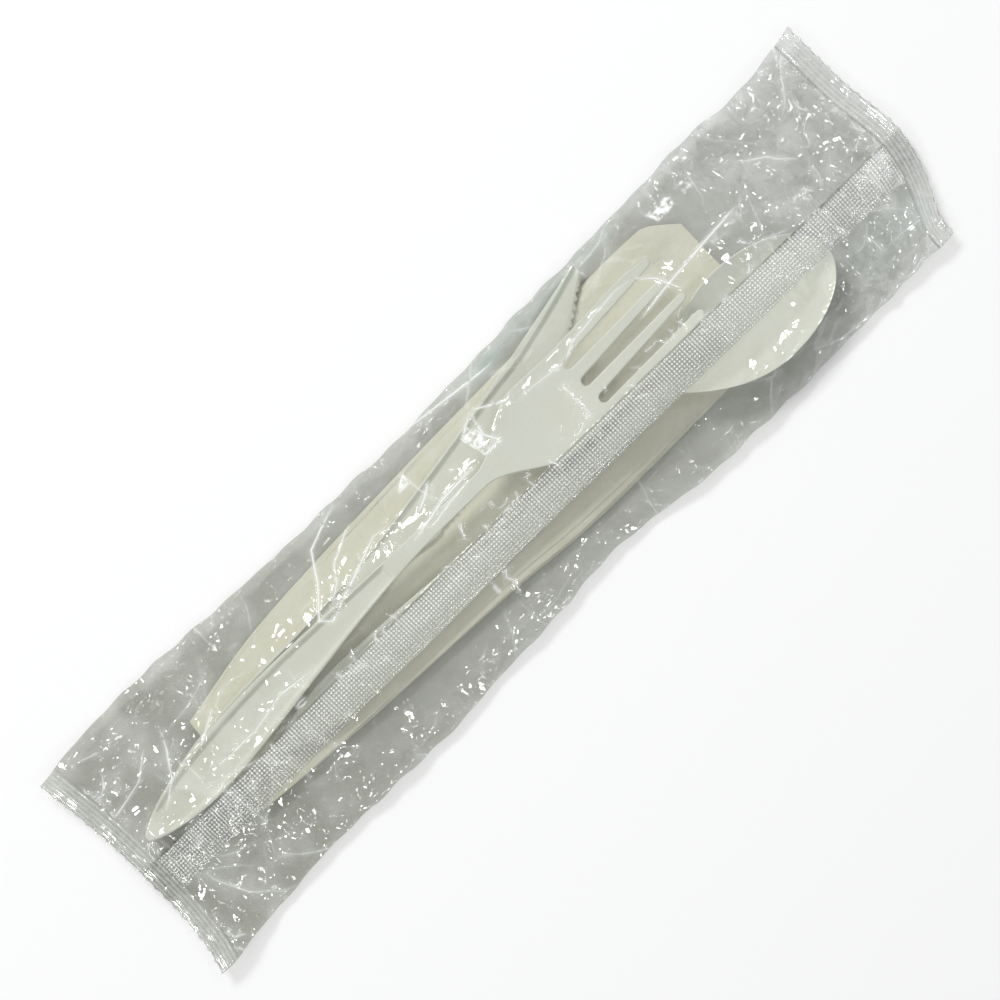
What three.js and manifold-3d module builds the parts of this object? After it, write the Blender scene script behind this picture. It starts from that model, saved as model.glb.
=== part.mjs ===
// A sealed pack of disposable cutlery: a fork, a knife and a spoon lie on a folded paper napkin inside one
// flow-wrapped sleeve of clear film. The sleeve is one sheet: its two long edges are sealed face to face
// into a fin that is folded flat along the pack, and both ends are crimped shut and cut with a zigzag.
// Millimetres. +X runs along the pack towards the spoon's bowl, +Y runs across it towards the knife's tip,
// and +Z is up. The pack lies on its plain back with the fin seal on top. The origin is the middle of the
// pack's underside.
import * as THREE from 'three';
import { mergeVertices } from 'three/addons/utils/BufferGeometryUtils.js';
import Module from 'manifold-3d';

const wasm = await Module();
wasm.setup();

// Film sleeve.
const PACK_HALF_LENGTH = 119.25;
const PACK_HALF_WIDTH = 30.2;
const PACK_HEIGHT = 11.6;
const FILM_WALL = 0.3;
const CRIMP_WIDTH = 5;
const CRIMP_THICKNESS = 0.9;
const END_RISE = 22;
const SIDE_FOLD = 0.8;
const TOOTH_PITCH = 3;
const TOOTH_DEPTH = 1.4;
const FIN_WIDTH = 8.6;
const FIN_THICKNESS = 0.5;
const FIN_EDGE = 0.25;
const FIN_LEFT_Y = -4.9;
const FIN_RIGHT_Y = -8.7;
const VENT_WIDTH = 2.4;
const VENT_HEIGHT = 0.16;
const FILM_STEPS = 30;
const NEAR_STEPS = 5;
const FAR_STEPS = 7;

// Napkin.
const NAPKIN_START = -87;
const NAPKIN_END = 70.5;
const NAPKIN_BOTTOM = 0.6;
const NAPKIN_THICKNESS = 1.8;

// What the three utensils share.
const HANDLE_ROUND_LENGTH = 24;
const HANDLE_THICKNESS = 2.1;
const PANEL_DEPTH = 0.8;
const PANEL_START = 5;
const BLUNT_END = 0.5;

// Fork.
const FORK_LENGTH = 170;
const FORK_HANDLE_HALF = 5.75;
const FORK_NECK_HALF = 1.8;
const FORK_HEAD_HALF = 10.1;
const FORK_NECK_AT = 98;
const FORK_FLARE_AT = 109;
const FORK_HEAD_AT = 128;
const FORK_SLOT_ROOT = 140;
const FORK_SLOT_WIDTH = 2.3;
const FORK_SLOT_TIP_WIDTH = 3.6;
const FORK_TINE_PITCH = 5.4;
const FORK_TIP_NARROWING = 1.1;
const FORK_SHEET = 1.1;
const FORK_DISH = 0.6;
const FORK_PANEL_END = 80.7;
const FORK_HANDLE_AT = [-110.4, 3.5];
const FORK_TURN = THREE.MathUtils.degToRad(1.15);

// Knife.
const KNIFE_LENGTH = 158.8;
const KNIFE_HANDLE_HALF = 5.7;
const KNIFE_BACK_HALF = 1.5;
const KNIFE_HEEL_HALF = 4.2;
const KNIFE_BLADE_AT = 80;
const KNIFE_EDGE_HALF = 8.4;
const KNIFE_TIP_RISE = 4.1;
const KNIFE_BELLY_AT = 122;
const KNIFE_BELLY_RISE = 11.6;
const KNIFE_BLADE_THICKNESS = 1.1;
const KNIFE_RIB_HEIGHT = 0.9;
const KNIFE_EDGE_THINNING = 0.5;
const KNIFE_TOOTH_PITCH = 1.8;
const KNIFE_TOOTH_DEPTH = 0.8;
const KNIFE_PANEL_END = 72;
const KNIFE_HANDLE_AT = [-109.9, 2.8];
const KNIFE_TURN = THREE.MathUtils.degToRad(6.2);

// Spoon.
const SPOON_LENGTH = 165.4;
const SPOON_HANDLE_HALF = 5.5;
const SPOON_NECK_HALF = 2.3;
const SPOON_NECK_AT = 112;
const SPOON_BOWL_HALF = 12.9;
const SPOON_BOWL_MIDDLE = 143.5;
const SPOON_BOWL_BACK = 26;
const SPOON_BOWL_DEPTH = 3.8;
const SPOON_SHEET = 1.1;
const SPOON_PANEL_END = 78;
const SPOON_HANDLE_AT = [-76, -3.7];
const SPOON_TURN = THREE.MathUtils.degToRad(-2.87);

// A closed body from a box whose points are moved by place(along, across, upper): along runs 0 to 1, across
// runs -1 to 1 and upper is true on the top face.
function mappedBox(alongSteps, acrossSteps, place) {
  const geometry = new THREE.BoxGeometry(1, 2, 1, alongSteps, acrossSteps, 1);
  geometry.deleteAttribute('normal');
  geometry.deleteAttribute('uv');
  const position = geometry.getAttribute('position');
  for (let i = 0; i < position.count; i += 1) {
    const point = place(position.getX(i) + 0.5, position.getY(i), position.getZ(i) > 0);
    position.setXYZ(i, point[0], point[1], point[2]);
  }
  return geometry;
}

// A manifold solid from a closed three.js geometry.
function toSolid(geometry) {
  geometry.deleteAttribute('normal');
  geometry.deleteAttribute('uv');
  const merged = mergeVertices(geometry);
  const vertProperties = new Float32Array(merged.getAttribute('position').array);
  const triVerts = new Uint32Array(merged.getIndex().array);
  return new wasm.Manifold(new wasm.Mesh({ numProp: 3, vertProperties, triVerts }));
}

// A three.js geometry from a manifold solid.
function toGeometry(solid) {
  const mesh = solid.getMesh();
  const geometry = new THREE.BufferGeometry();
  geometry.setAttribute('position', new THREE.BufferAttribute(new Float32Array(mesh.vertProperties), 3));
  geometry.setIndex(new THREE.BufferAttribute(new Uint32Array(mesh.triVerts), 1));
  geometry.computeVertexNormals();
  return geometry;
}

// A prism of a flat outline, standing from z = bottom to z = top.
function prism(shape, bottom, top) {
  const options = { depth: top - bottom, bevelEnabled: false, curveSegments: 8 };
  const geometry = new THREE.ExtrudeGeometry(shape, options);
  geometry.translate(0, 0, bottom);
  return geometry;
}

function namedMesh(name, geometry, colour, roughness) {
  const material = new THREE.MeshStandardMaterial({ color: colour, roughness, metalness: 0 });
  const mesh = new THREE.Mesh(geometry, material);
  mesh.name = name;
  return mesh;
}

// 0 before the start, 1 after the end, and a smooth S between them.
function ease(value, start, end) {
  return THREE.MathUtils.smoothstep(value, start, end);
}

// A smooth curve through points [x, value], read at any x between them.
function curveThrough(points) {
  const curve = new THREE.SplineCurve(points.map((point) => new THREE.Vector2(point[0], point[1])));
  const samples = curve.getPoints(400);
  return (x) => {
    const found = samples.findIndex((sample) => sample.x >= x);
    const next = Math.max(1, found < 0 ? samples.length - 1 : found);
    const low = samples[next - 1];
    const high = samples[next];
    const share = THREE.MathUtils.clamp((x - low.x) / (high.x - low.x), 0, 1);
    return THREE.MathUtils.lerp(low.y, high.y, share);
  };
}

// The film's two long edges, as y along x.
const filmFarEdge = curveThrough([
  [-PACK_HALF_LENGTH, 28.8], [-94, PACK_HALF_WIDTH], [-60, 28.2], [-8, 26.2], [45, 28], [84, 27],
  [100, 26.4], [PACK_HALF_LENGTH, 28.2],
]);
const filmNearEdge = curveThrough([
  [-PACK_HALF_LENGTH, -29], [-79, -27], [-48, -27.9], [7, -25.8], [47, -29.6], [84, -PACK_HALF_WIDTH],
  [PACK_HALF_LENGTH, -29.4],
]);

// Height of the film's outer top surface over the point x, y. It leaves the crimps steeply, stays level over
// the contents and falls to the folded sides.
function filmTop(x, y) {
  const reach = Math.max(0, PACK_HALF_LENGTH - CRIMP_WIDTH - Math.abs(x));
  const open = 1 - Math.min(1, reach / END_RISE);
  const endShare = Math.sqrt(1 - open ** 3);
  const middle = (filmFarEdge(x) + filmNearEdge(x)) / 2;
  const half = (filmFarEdge(x) - filmNearEdge(x)) / 2;
  const side = Math.min(1, Math.abs(y - middle) / half);
  const sideShare = Math.sqrt(1 - side ** 5);
  return CRIMP_THICKNESS + (PACK_HEIGHT - CRIMP_THICKNESS) * endShare * sideShare;
}

// Places along the pack between the two crimps, closer together near the ends, where the film rises.
function filmStation(i) {
  const t = (2 * i) / FILM_STEPS - 1;
  return (PACK_HALF_LENGTH - CRIMP_WIDTH) * (0.55 * Math.sin((Math.PI / 2) * t) + 0.45 * t);
}

function finMiddle(x) {
  const share = (x + PACK_HALF_LENGTH) / (2 * PACK_HALF_LENGTH);
  return THREE.MathUtils.lerp(FIN_LEFT_Y, FIN_RIGHT_Y, share);
}

// Places across the film from its near edge to its far edge. They gather at the folded sides, and two of
// them stand on the fin, just inside its edges.
function filmColumns(x) {
  const near = filmNearEdge(x);
  const far = filmFarEdge(x);
  const finNear = finMiddle(x) - FIN_WIDTH / 2;
  const finFar = finMiddle(x) + FIN_WIDTH / 2;
  const columns = [];
  for (let i = 0; i <= NEAR_STEPS; i += 1) {
    columns.push(near + (finNear - near) * (1 - Math.cos((Math.PI / 2) * (i / NEAR_STEPS))));
  }
  columns.push(finNear + FIN_EDGE, finFar - FIN_EDGE);
  for (let i = FAR_STEPS; i >= 0; i -= 1) {
    columns.push(far - (far - finFar) * (1 - Math.cos((Math.PI / 2) * (i / FAR_STEPS))));
  }
  return columns;
}

const COLUMN_STEPS = NEAR_STEPS + FAR_STEPS + 3;

// The sleeve's outer form, from end to end, with the fin raised along it.
function sleeveOutside() {
  const steps = FILM_STEPS + 2;
  return toSolid(mappedBox(steps, COLUMN_STEPS, (along, across, upper) => {
    const i = Math.round(along * steps) - 1;
    const x = Math.abs(along - 0.5) > 0.4999 ? Math.sign(along - 0.5) * PACK_HALF_LENGTH : filmStation(i);
    const column = Math.round(((across + 1) / 2) * COLUMN_STEPS);
    const y = filmColumns(x)[column];
    const onFin = column === NEAR_STEPS + 1 || column === NEAR_STEPS + 2;
    return [x, y, upper ? filmTop(x, y) + (onFin ? FIN_THICKNESS : 0) : 0];
  }));
}

// The space inside the sleeve, between the crimps: the outer form drawn in by the film's wall.
function sleeveInside() {
  return toSolid(mappedBox(FILM_STEPS, COLUMN_STEPS, (along, across, upper) => {
    const x = filmStation(Math.round(along * FILM_STEPS));
    const y = filmColumns(x)[Math.round(((across + 1) / 2) * COLUMN_STEPS)];
    const middle = (filmFarEdge(x) + filmNearEdge(x)) / 2;
    const drawnIn = 1 - SIDE_FOLD / filmFarEdge(x);
    return [x, middle + (y - middle) * drawnIn, upper ? filmTop(x, y) - FILM_WALL : FILM_WALL];
  }));
}

// The zigzag that a cutter leaves on one end of the film, as the material it takes away.
function zigzagCut(direction) {
  const shape = new THREE.Shape();
  const outer = direction * (PACK_HALF_LENGTH + 2);
  const teeth = Math.ceil((2 * PACK_HALF_WIDTH) / TOOTH_PITCH) + 1;
  const start = -(teeth * TOOTH_PITCH) / 2;
  shape.moveTo(outer, start);
  for (let i = 0; i <= 2 * teeth; i += 1) {
    const x = PACK_HALF_LENGTH - (i % 2 === 0 ? TOOTH_DEPTH : 0);
    shape.lineTo(direction * x, start + (i * TOOTH_PITCH) / 2);
  }
  shape.lineTo(outer, -start);
  return toSolid(prism(shape, -1, PACK_HEIGHT));
}

function filmWrapper() {
  const vent = new THREE.BoxGeometry(CRIMP_WIDTH * 2, VENT_WIDTH, VENT_HEIGHT);
  vent.translate(PACK_HALF_LENGTH - CRIMP_WIDTH / 2, finMiddle(PACK_HALF_LENGTH), CRIMP_THICKNESS / 2);
  const sleeve = sleeveOutside()
    .subtract(sleeveInside())
    .subtract(toSolid(vent))
    .subtract(zigzagCut(1))
    .subtract(zigzagCut(-1));
  return namedMesh('film_wrapper', toGeometry(sleeve), 0xdfe4e2, 0.12);
}

// The napkin's folded plies fan out a little, so the stack is narrow at one end and wide at the other.
function napkin() {
  const far = curveThrough([
    [NAPKIN_START, 15.2], [-60, 19.2], [-20, 20.6], [25, 20.9], [60, 20.6], [66, 18.6], [NAPKIN_END, 14.8],
  ]);
  const near = curveThrough([
    [NAPKIN_START, -10.6], [-60, -13.2], [-14, -16.2], [14, -18.6], [NAPKIN_END, -19],
  ]);
  const geometry = mappedBox(24, 4, (along, across, upper) => {
    const x = THREE.MathUtils.lerp(NAPKIN_START, NAPKIN_END, along);
    const y = THREE.MathUtils.lerp(near(x), far(x), (across + 1) / 2);
    return [x, y, NAPKIN_BOTTOM + (upper ? NAPKIN_THICKNESS : 0)];
  });
  return namedMesh('napkin', toGeometry(toSolid(geometry)), 0xe6e4d2, 0.95);
}

// Half-width of a handle's end, which closes to a blunt point like a pointed arch.
function handleRound(s, half) {
  const gap = Math.max(0, HANDLE_ROUND_LENGTH - s) / HANDLE_ROUND_LENGTH;
  return BLUNT_END + (half - BLUNT_END) * (1 - gap ** 2) ** 0.75;
}

// Half-width along a handle: the arch, then a slow taper to the neck.
function handleHalf(s, half, neckHalf, neckAt) {
  const share = THREE.MathUtils.clamp((s - HANDLE_ROUND_LENGTH) / (neckAt - HANDLE_ROUND_LENGTH), 0, 1);
  const taper = (1 + Math.cos(Math.PI * share)) / 2;
  return s < HANDLE_ROUND_LENGTH ? handleRound(s, half) : neckHalf + (half - neckHalf) * taper;
}

// How far a handle's top face drops inside its raised rim.
function panelDrop(s, across, panelEnd) {
  const inRim = 1 - ease(Math.abs(across), 0.68, 0.84);
  const inLength = ease(s, PANEL_START, PANEL_START + 3) * (1 - ease(s, panelEnd - 1.5, panelEnd));
  return PANEL_DEPTH * inRim * inLength;
}

// Steps across a utensil gather at its rim.
function rimSpread(across) {
  return Math.sin((Math.PI / 2) * across);
}

function forkHalf(s) {
  const stem = handleHalf(s, FORK_HANDLE_HALF, FORK_NECK_HALF, FORK_NECK_AT);
  const head = stem + (FORK_HEAD_HALF - FORK_NECK_HALF) * ease(s, FORK_FLARE_AT, FORK_HEAD_AT);
  return head - FORK_TIP_NARROWING * ease(s, FORK_LENGTH - 9, FORK_LENGTH + 2);
}

// The thin handle is bowed sideways a little by the tight sleeve; this is its middle line, as y along s.
const forkBowLine = curveThrough([
  [0, 0], [22, 0.6], [50, 1.8], [80, 1.8], [98, 1.2], [120, 0.1], [FORK_SLOT_ROOT, -1.2],
]);

// Between the tines the middle line is straight.
function forkBow(s) {
  return forkBowLine(Math.min(s, FORK_SLOT_ROOT));
}

// Underside height along the fork, which arches over the knife and the edge of the spoon.
const forkLine = curveThrough([
  [0, 3.3], [25, 5.4], [70, 6.2], [105, 7.3], [135, 7.4], [152, 8.3], [FORK_LENGTH, 8.7],
]);

function forkThickness(s) {
  return THREE.MathUtils.lerp(HANDLE_THICKNESS, FORK_SHEET, ease(s, FORK_FLARE_AT + 2, FORK_HEAD_AT));
}

// One slot between two tines: round at its root and wider towards the tips.
function forkSlot(y) {
  const root = FORK_SLOT_ROOT + FORK_SLOT_WIDTH / 2;
  const past = FORK_LENGTH + 1;
  const shape = new THREE.Shape();
  shape.moveTo(past, y + FORK_SLOT_TIP_WIDTH / 2);
  shape.lineTo(root, y + FORK_SLOT_WIDTH / 2);
  shape.absarc(root, y, FORK_SLOT_WIDTH / 2, Math.PI / 2, -Math.PI / 2, false);
  shape.lineTo(past, y - FORK_SLOT_TIP_WIDTH / 2);
  return toSolid(prism(shape, 0, PACK_HEIGHT * 2));
}

function fork() {
  const blank = toSolid(mappedBox(46, 8, (along, across, upper) => {
    const s = along * FORK_LENGTH;
    const side = rimSpread(across);
    const dish = FORK_DISH * side ** 2 * ease(s, FORK_FLARE_AT, FORK_HEAD_AT + 6);
    const bottom = forkLine(s) + dish;
    const top = bottom + forkThickness(s) - panelDrop(s, side, FORK_PANEL_END);
    return [s, forkBow(s) + side * forkHalf(s), upper ? top : bottom];
  }));
  const slots = [-1, 0, 1].map((i) => forkSlot(forkBow(FORK_LENGTH) + i * FORK_TINE_PITCH));
  const solid = slots.reduce((body, slot) => body.subtract(slot), blank);
  return namedMesh('fork', toGeometry(solid), 0xe4e4da, 0.35);
}

function knifeUpper(s) {
  const handle = handleHalf(s, KNIFE_HANDLE_HALF, KNIFE_BACK_HALF, KNIFE_BLADE_AT);
  const blade = Math.max(0, s - KNIFE_BLADE_AT) / (KNIFE_LENGTH - KNIFE_BLADE_AT);
  return handle + KNIFE_TIP_RISE * blade ** 1.8;
}

function knifeLower(s) {
  const handle = handleHalf(s, KNIFE_HANDLE_HALF, KNIFE_HEEL_HALF, KNIFE_BLADE_AT - 6);
  const heel = (KNIFE_EDGE_HALF - KNIFE_HEEL_HALF) * ease(s, KNIFE_BLADE_AT - 4, KNIFE_BLADE_AT + 14);
  const belly = Math.max(0, s - KNIFE_BELLY_AT) / (KNIFE_LENGTH - KNIFE_BELLY_AT);
  return handle + heel - KNIFE_BELLY_RISE * belly ** 2.2;
}

const knifeLine = curveThrough([[0, 0.8], [22, 2.5], [30, 2.7], [90, 2.7], [KNIFE_LENGTH, 2.7]]);

// The notches between the teeth, along the lower edge of the blade.
function knifeTeeth() {
  const first = KNIFE_BLADE_AT + 14;
  const count = Math.floor((KNIFE_LENGTH - 3 - first) / KNIFE_TOOTH_PITCH);
  const shape = new THREE.Shape();
  shape.moveTo(first, -KNIFE_EDGE_HALF - 3);
  for (let i = 0; i <= 2 * count; i += 1) {
    const s = first + (i * KNIFE_TOOTH_PITCH) / 2;
    const bite = i % 2 === 0 ? -0.1 : KNIFE_TOOTH_DEPTH;
    shape.lineTo(s, -knifeLower(s) + bite);
  }
  shape.lineTo(first + count * KNIFE_TOOTH_PITCH, -KNIFE_EDGE_HALF - 3);
  return toSolid(prism(shape, 0, PACK_HEIGHT));
}

function knife() {
  const blank = toSolid(mappedBox(44, 8, (along, across, upper) => {
    const s = along * KNIFE_LENGTH;
    const side = rimSpread(across);
    const y = side > 0 ? side * knifeUpper(s) : side * knifeLower(s);
    const inBlade = ease(s, KNIFE_BLADE_AT - 6, KNIFE_BLADE_AT + 8);
    const rib = KNIFE_RIB_HEIGHT * ease(side, 0.6, 0.75);
    const bladeTop = KNIFE_BLADE_THICKNESS + rib - KNIFE_EDGE_THINNING * ease(-side, 0.5, 1);
    const thickness = THREE.MathUtils.lerp(HANDLE_THICKNESS, bladeTop, inBlade);
    const top = knifeLine(s) + thickness - panelDrop(s, side, KNIFE_PANEL_END);
    return [s, s > KNIFE_BELLY_AT ? bladeY(s, side) : y, upper ? top : knifeLine(s)];
  }));
  return namedMesh('knife', toGeometry(blank.subtract(knifeTeeth())), 0xe4e4da, 0.35);
}

// Near the tip both edges of the blade lie above the axis, so points are spread between the two edges.
function bladeY(s, side) {
  const middle = (knifeUpper(s) - knifeLower(s)) / 2;
  const half = (knifeUpper(s) + knifeLower(s)) / 2;
  const plain = side > 0 ? side * knifeUpper(s) : side * knifeLower(s);
  const spread = middle + side * half;
  return THREE.MathUtils.lerp(plain, spread, ease(s, KNIFE_BELLY_AT, KNIFE_BELLY_AT + 16));
}

// 0 at the neck, 1 at the bowl's widest place and 0 at its tip.
function bowlShare(s) {
  const behind = (SPOON_BOWL_MIDDLE - s) / SPOON_BOWL_BACK;
  const ahead = (s - SPOON_BOWL_MIDDLE) / (SPOON_LENGTH + 0.2 - SPOON_BOWL_MIDDLE);
  return s < SPOON_BOWL_MIDDLE ? Math.max(0, 1 - behind ** 2) : Math.sqrt(Math.max(0, 1 - ahead ** 2));
}

function spoonHalf(s) {
  const stem = handleHalf(s, SPOON_HANDLE_HALF, SPOON_NECK_HALF, SPOON_NECK_AT);
  const bowl = SPOON_BOWL_HALF * bowlShare(s);
  return s < SPOON_BOWL_MIDDLE - 10 ? Math.max(stem, bowl) : bowl;
}

const spoonLine = curveThrough([
  [0, 2.7], [60, 2.7], [90, 4.2], [110, 5.9], [120, 6.4], [SPOON_LENGTH, 6.6],
]);

function spoon() {
  const geometry = mappedBox(48, 10, (along, across, upper) => {
    const s = SPOON_LENGTH * (1 - (1 - along) ** 1.25);
    const side = rimSpread(across);
    const depth = SPOON_BOWL_DEPTH * (1 - side ** 2) * ease(bowlShare(s), 0.05, 0.95);
    const inBowl = ease(s, SPOON_NECK_AT - 4, SPOON_NECK_AT + 14);
    const thickness = THREE.MathUtils.lerp(HANDLE_THICKNESS, SPOON_SHEET, inBowl);
    const rim = spoonLine(s) - depth;
    const top = rim + thickness - panelDrop(s, side, SPOON_PANEL_END);
    return [s, side * Math.max(BLUNT_END, spoonHalf(s)), upper ? top : rim];
  });
  return namedMesh('spoon', toGeometry(toSolid(geometry)), 0xe4e4da, 0.35);
}

function lay(mesh, at, turn) {
  mesh.position.set(at[0], at[1], 0);
  mesh.rotation.z = turn;
  return mesh;
}

const pack = new THREE.Group();
pack.add(filmWrapper());
pack.add(napkin());
pack.add(lay(knife(), KNIFE_HANDLE_AT, KNIFE_TURN));
pack.add(lay(spoon(), SPOON_HANDLE_AT, SPOON_TURN));
pack.add(lay(fork(), FORK_HANDLE_AT, FORK_TURN));

export default pack;
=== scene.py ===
"""Looks of a sealed cutlery pack: a clear film sleeve round a folded napkin, a knife, a spoon and a fork.

Every piece is a surface worked out with numpy. Sizes are written in millimetres, as a maker writes them, and
new_piece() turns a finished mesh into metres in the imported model's frame.
"""

import logging
import math
from dataclasses import dataclass
from enum import Enum

import bmesh
import bpy
import numpy as np
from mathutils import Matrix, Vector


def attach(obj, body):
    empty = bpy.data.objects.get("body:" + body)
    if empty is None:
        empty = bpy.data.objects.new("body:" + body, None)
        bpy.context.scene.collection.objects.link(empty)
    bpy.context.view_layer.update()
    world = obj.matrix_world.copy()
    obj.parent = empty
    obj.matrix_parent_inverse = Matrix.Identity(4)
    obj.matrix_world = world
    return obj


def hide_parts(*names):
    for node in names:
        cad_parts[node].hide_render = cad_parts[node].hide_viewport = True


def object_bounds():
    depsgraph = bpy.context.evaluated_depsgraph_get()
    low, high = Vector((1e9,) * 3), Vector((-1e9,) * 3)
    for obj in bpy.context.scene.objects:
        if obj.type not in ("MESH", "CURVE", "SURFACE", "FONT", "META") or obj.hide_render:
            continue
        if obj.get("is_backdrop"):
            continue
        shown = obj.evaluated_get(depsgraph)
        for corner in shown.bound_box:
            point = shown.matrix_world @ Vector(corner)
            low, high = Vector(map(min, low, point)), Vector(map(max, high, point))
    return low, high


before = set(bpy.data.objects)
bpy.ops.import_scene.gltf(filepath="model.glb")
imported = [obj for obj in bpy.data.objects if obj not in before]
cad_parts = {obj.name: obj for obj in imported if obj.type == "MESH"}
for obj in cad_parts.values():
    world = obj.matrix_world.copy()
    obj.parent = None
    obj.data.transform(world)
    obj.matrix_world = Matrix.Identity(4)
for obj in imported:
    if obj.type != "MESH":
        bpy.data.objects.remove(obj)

log = logging.getLogger("cutlery_pack")
MM = 0.001
PER_METRE = 1000
LINE_SAMPLES = 401
NO_EDGE = 99.0
NEAR = 1e-6
Array = np.ndarray
Pair = tuple[float, float]
Colour = tuple[float, float, float, float]
Object = bpy.types.Object
Socket = bpy.types.NodeSocket


class Run(Enum):
    """The runs of the film's path across the pack, from one free edge to the other."""

    FIN_UPPER = 1
    TOP = 2
    FOLD = 3
    UNDER = 4
    FIN_LOWER = 5


# ---------------------------------------------------------------- lines and grids


def ease(value: Array | float, start: float, end: float) -> Array:
    """Smooth S from 0 to 1: with t the share of the way, t squared times (3 - 2t).

    Args:
        value: where to read the S.
        start: below this the result is 0.
        end: above this the result is 1.

    Returns:
        The S at each value.
    """
    t = np.clip((np.asarray(value, dtype=float) - start) / (end - start), 0, 1)
    return t * t * (3 - 2 * t)


def mix(a: Array | float, b: Array | float, share: Array | float) -> Array:
    """Straight blend: a at share 0, b at share 1."""
    return a + (b - a) * share


def gathered(count: int) -> Array:
    """Shares from 0 to 1 that gather at both ends: (1 - cos(pi t)) / 2."""
    return (1 - np.cos(np.pi * np.linspace(0, 1, count))) / 2


def quarter(count: int) -> Array:
    """Sines of even angles from 0 to a right angle, without the 0, so they crowd towards 1."""
    return np.sin(np.linspace(0, np.pi / 2, count)[1:])


def half_turn(count: int) -> Array:
    """Even angles of a half circle, without its two ends."""
    return np.linspace(0, np.pi, count)[1:-1]


def rounded(shares: Array | float) -> Array:
    """Half-width of a round end at each share of the way to its tip: the root of 1 - share squared."""
    return np.sqrt(np.clip(1 - shares**2, 0, None))


@dataclass(frozen=True)
class SmoothLine:
    """A smooth line through points (x, value), read at any x."""

    points: tuple[Pair, ...]

    def at(self, x: Array | float) -> Array:
        """Catmull-Rom cubic between the points, with the end points doubled, then read by straight lines.

        Args:
            x: where to read the line.

        Returns:
            The line's value at each x.
        """
        p = np.array(self.points)
        last = len(p) - 1
        t = np.linspace(0, last, LINE_SAMPLES)
        i = np.minimum(t.astype(int), last - 1)
        w = (t - i)[:, None]
        before, here, there, after = p[np.maximum(i - 1, 0)], p[i], p[i + 1], p[np.minimum(i + 2, last)]
        leave, arrive = (there - before) / 2, (after - here) / 2
        cubic = (2 * here - 2 * there + leave + arrive) * w**3
        square = (3 * there - 3 * here - 2 * leave - arrive) * w**2
        line = cubic + square + leave * w + here
        return np.interp(x, line[:, 0], line[:, 1])


def strip_quads(rows: int, columns: int, first: int = 0) -> Array:
    """Corner numbers of the quads of a grid whose points are numbered row by row.

    Args:
        rows: points along the grid.
        columns: points across the grid.
        first: number of the grid's first point.

    Returns:
        One row of four corner numbers for each quad.
    """
    a = first + np.arange(rows - 1)[:, None] * columns + np.arange(columns - 1)[None, :]
    a = a.ravel()
    return np.stack([a, a + columns, a + columns + 1, a + 1], axis=1)


def new_piece(name: str, points: Array, quads: Array, smooth: bool = True) -> Object:
    """Makes one named object from millimetre points and quads, at the origin, unturned and unscaled.

    Args:
        name: the piece's name.
        points: one row of x, y, z for each point, in millimetres.
        quads: one row of four point numbers for each face, seen from outside turning left.
        smooth: whether the faces are shaded smooth.

    Returns:
        The new object, linked into the scene.
    """
    mesh = bpy.data.meshes.new(name)
    mesh.from_pydata((points * MM).tolist(), [], quads.tolist())
    mesh.polygons.foreach_set("use_smooth", np.full(len(mesh.polygons), smooth))
    mesh.update()
    piece = bpy.data.objects.new(name, mesh)
    bpy.context.scene.collection.objects.link(piece)
    return piece


def keep_number(piece: Object, name: str, values: Array) -> None:
    """Stores one number for each point of a piece, which its finish reads by name."""
    stored = piece.data.attributes.new(name, "FLOAT", "POINT")
    stored.data.foreach_set("value", np.asarray(values, dtype=np.float32).ravel())


def keep_map(piece: Object, u: Array, v: Array) -> None:
    """Stores a UV map from one u and one v for each point of the piece.

    Args:
        piece: the piece.
        u: first coordinate of each point.
        v: second coordinate of each point.
    """
    corners = np.empty(len(piece.data.loops), dtype=np.int32)
    piece.data.loops.foreach_get("vertex_index", corners)
    uv = np.stack([u.ravel()[corners], v.ravel()[corners]], axis=1)
    piece.data.uv_layers.new(name="flat").data.foreach_set("uv", uv.astype(np.float32).ravel())


# ---------------------------------------------------------------- node materials


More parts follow.
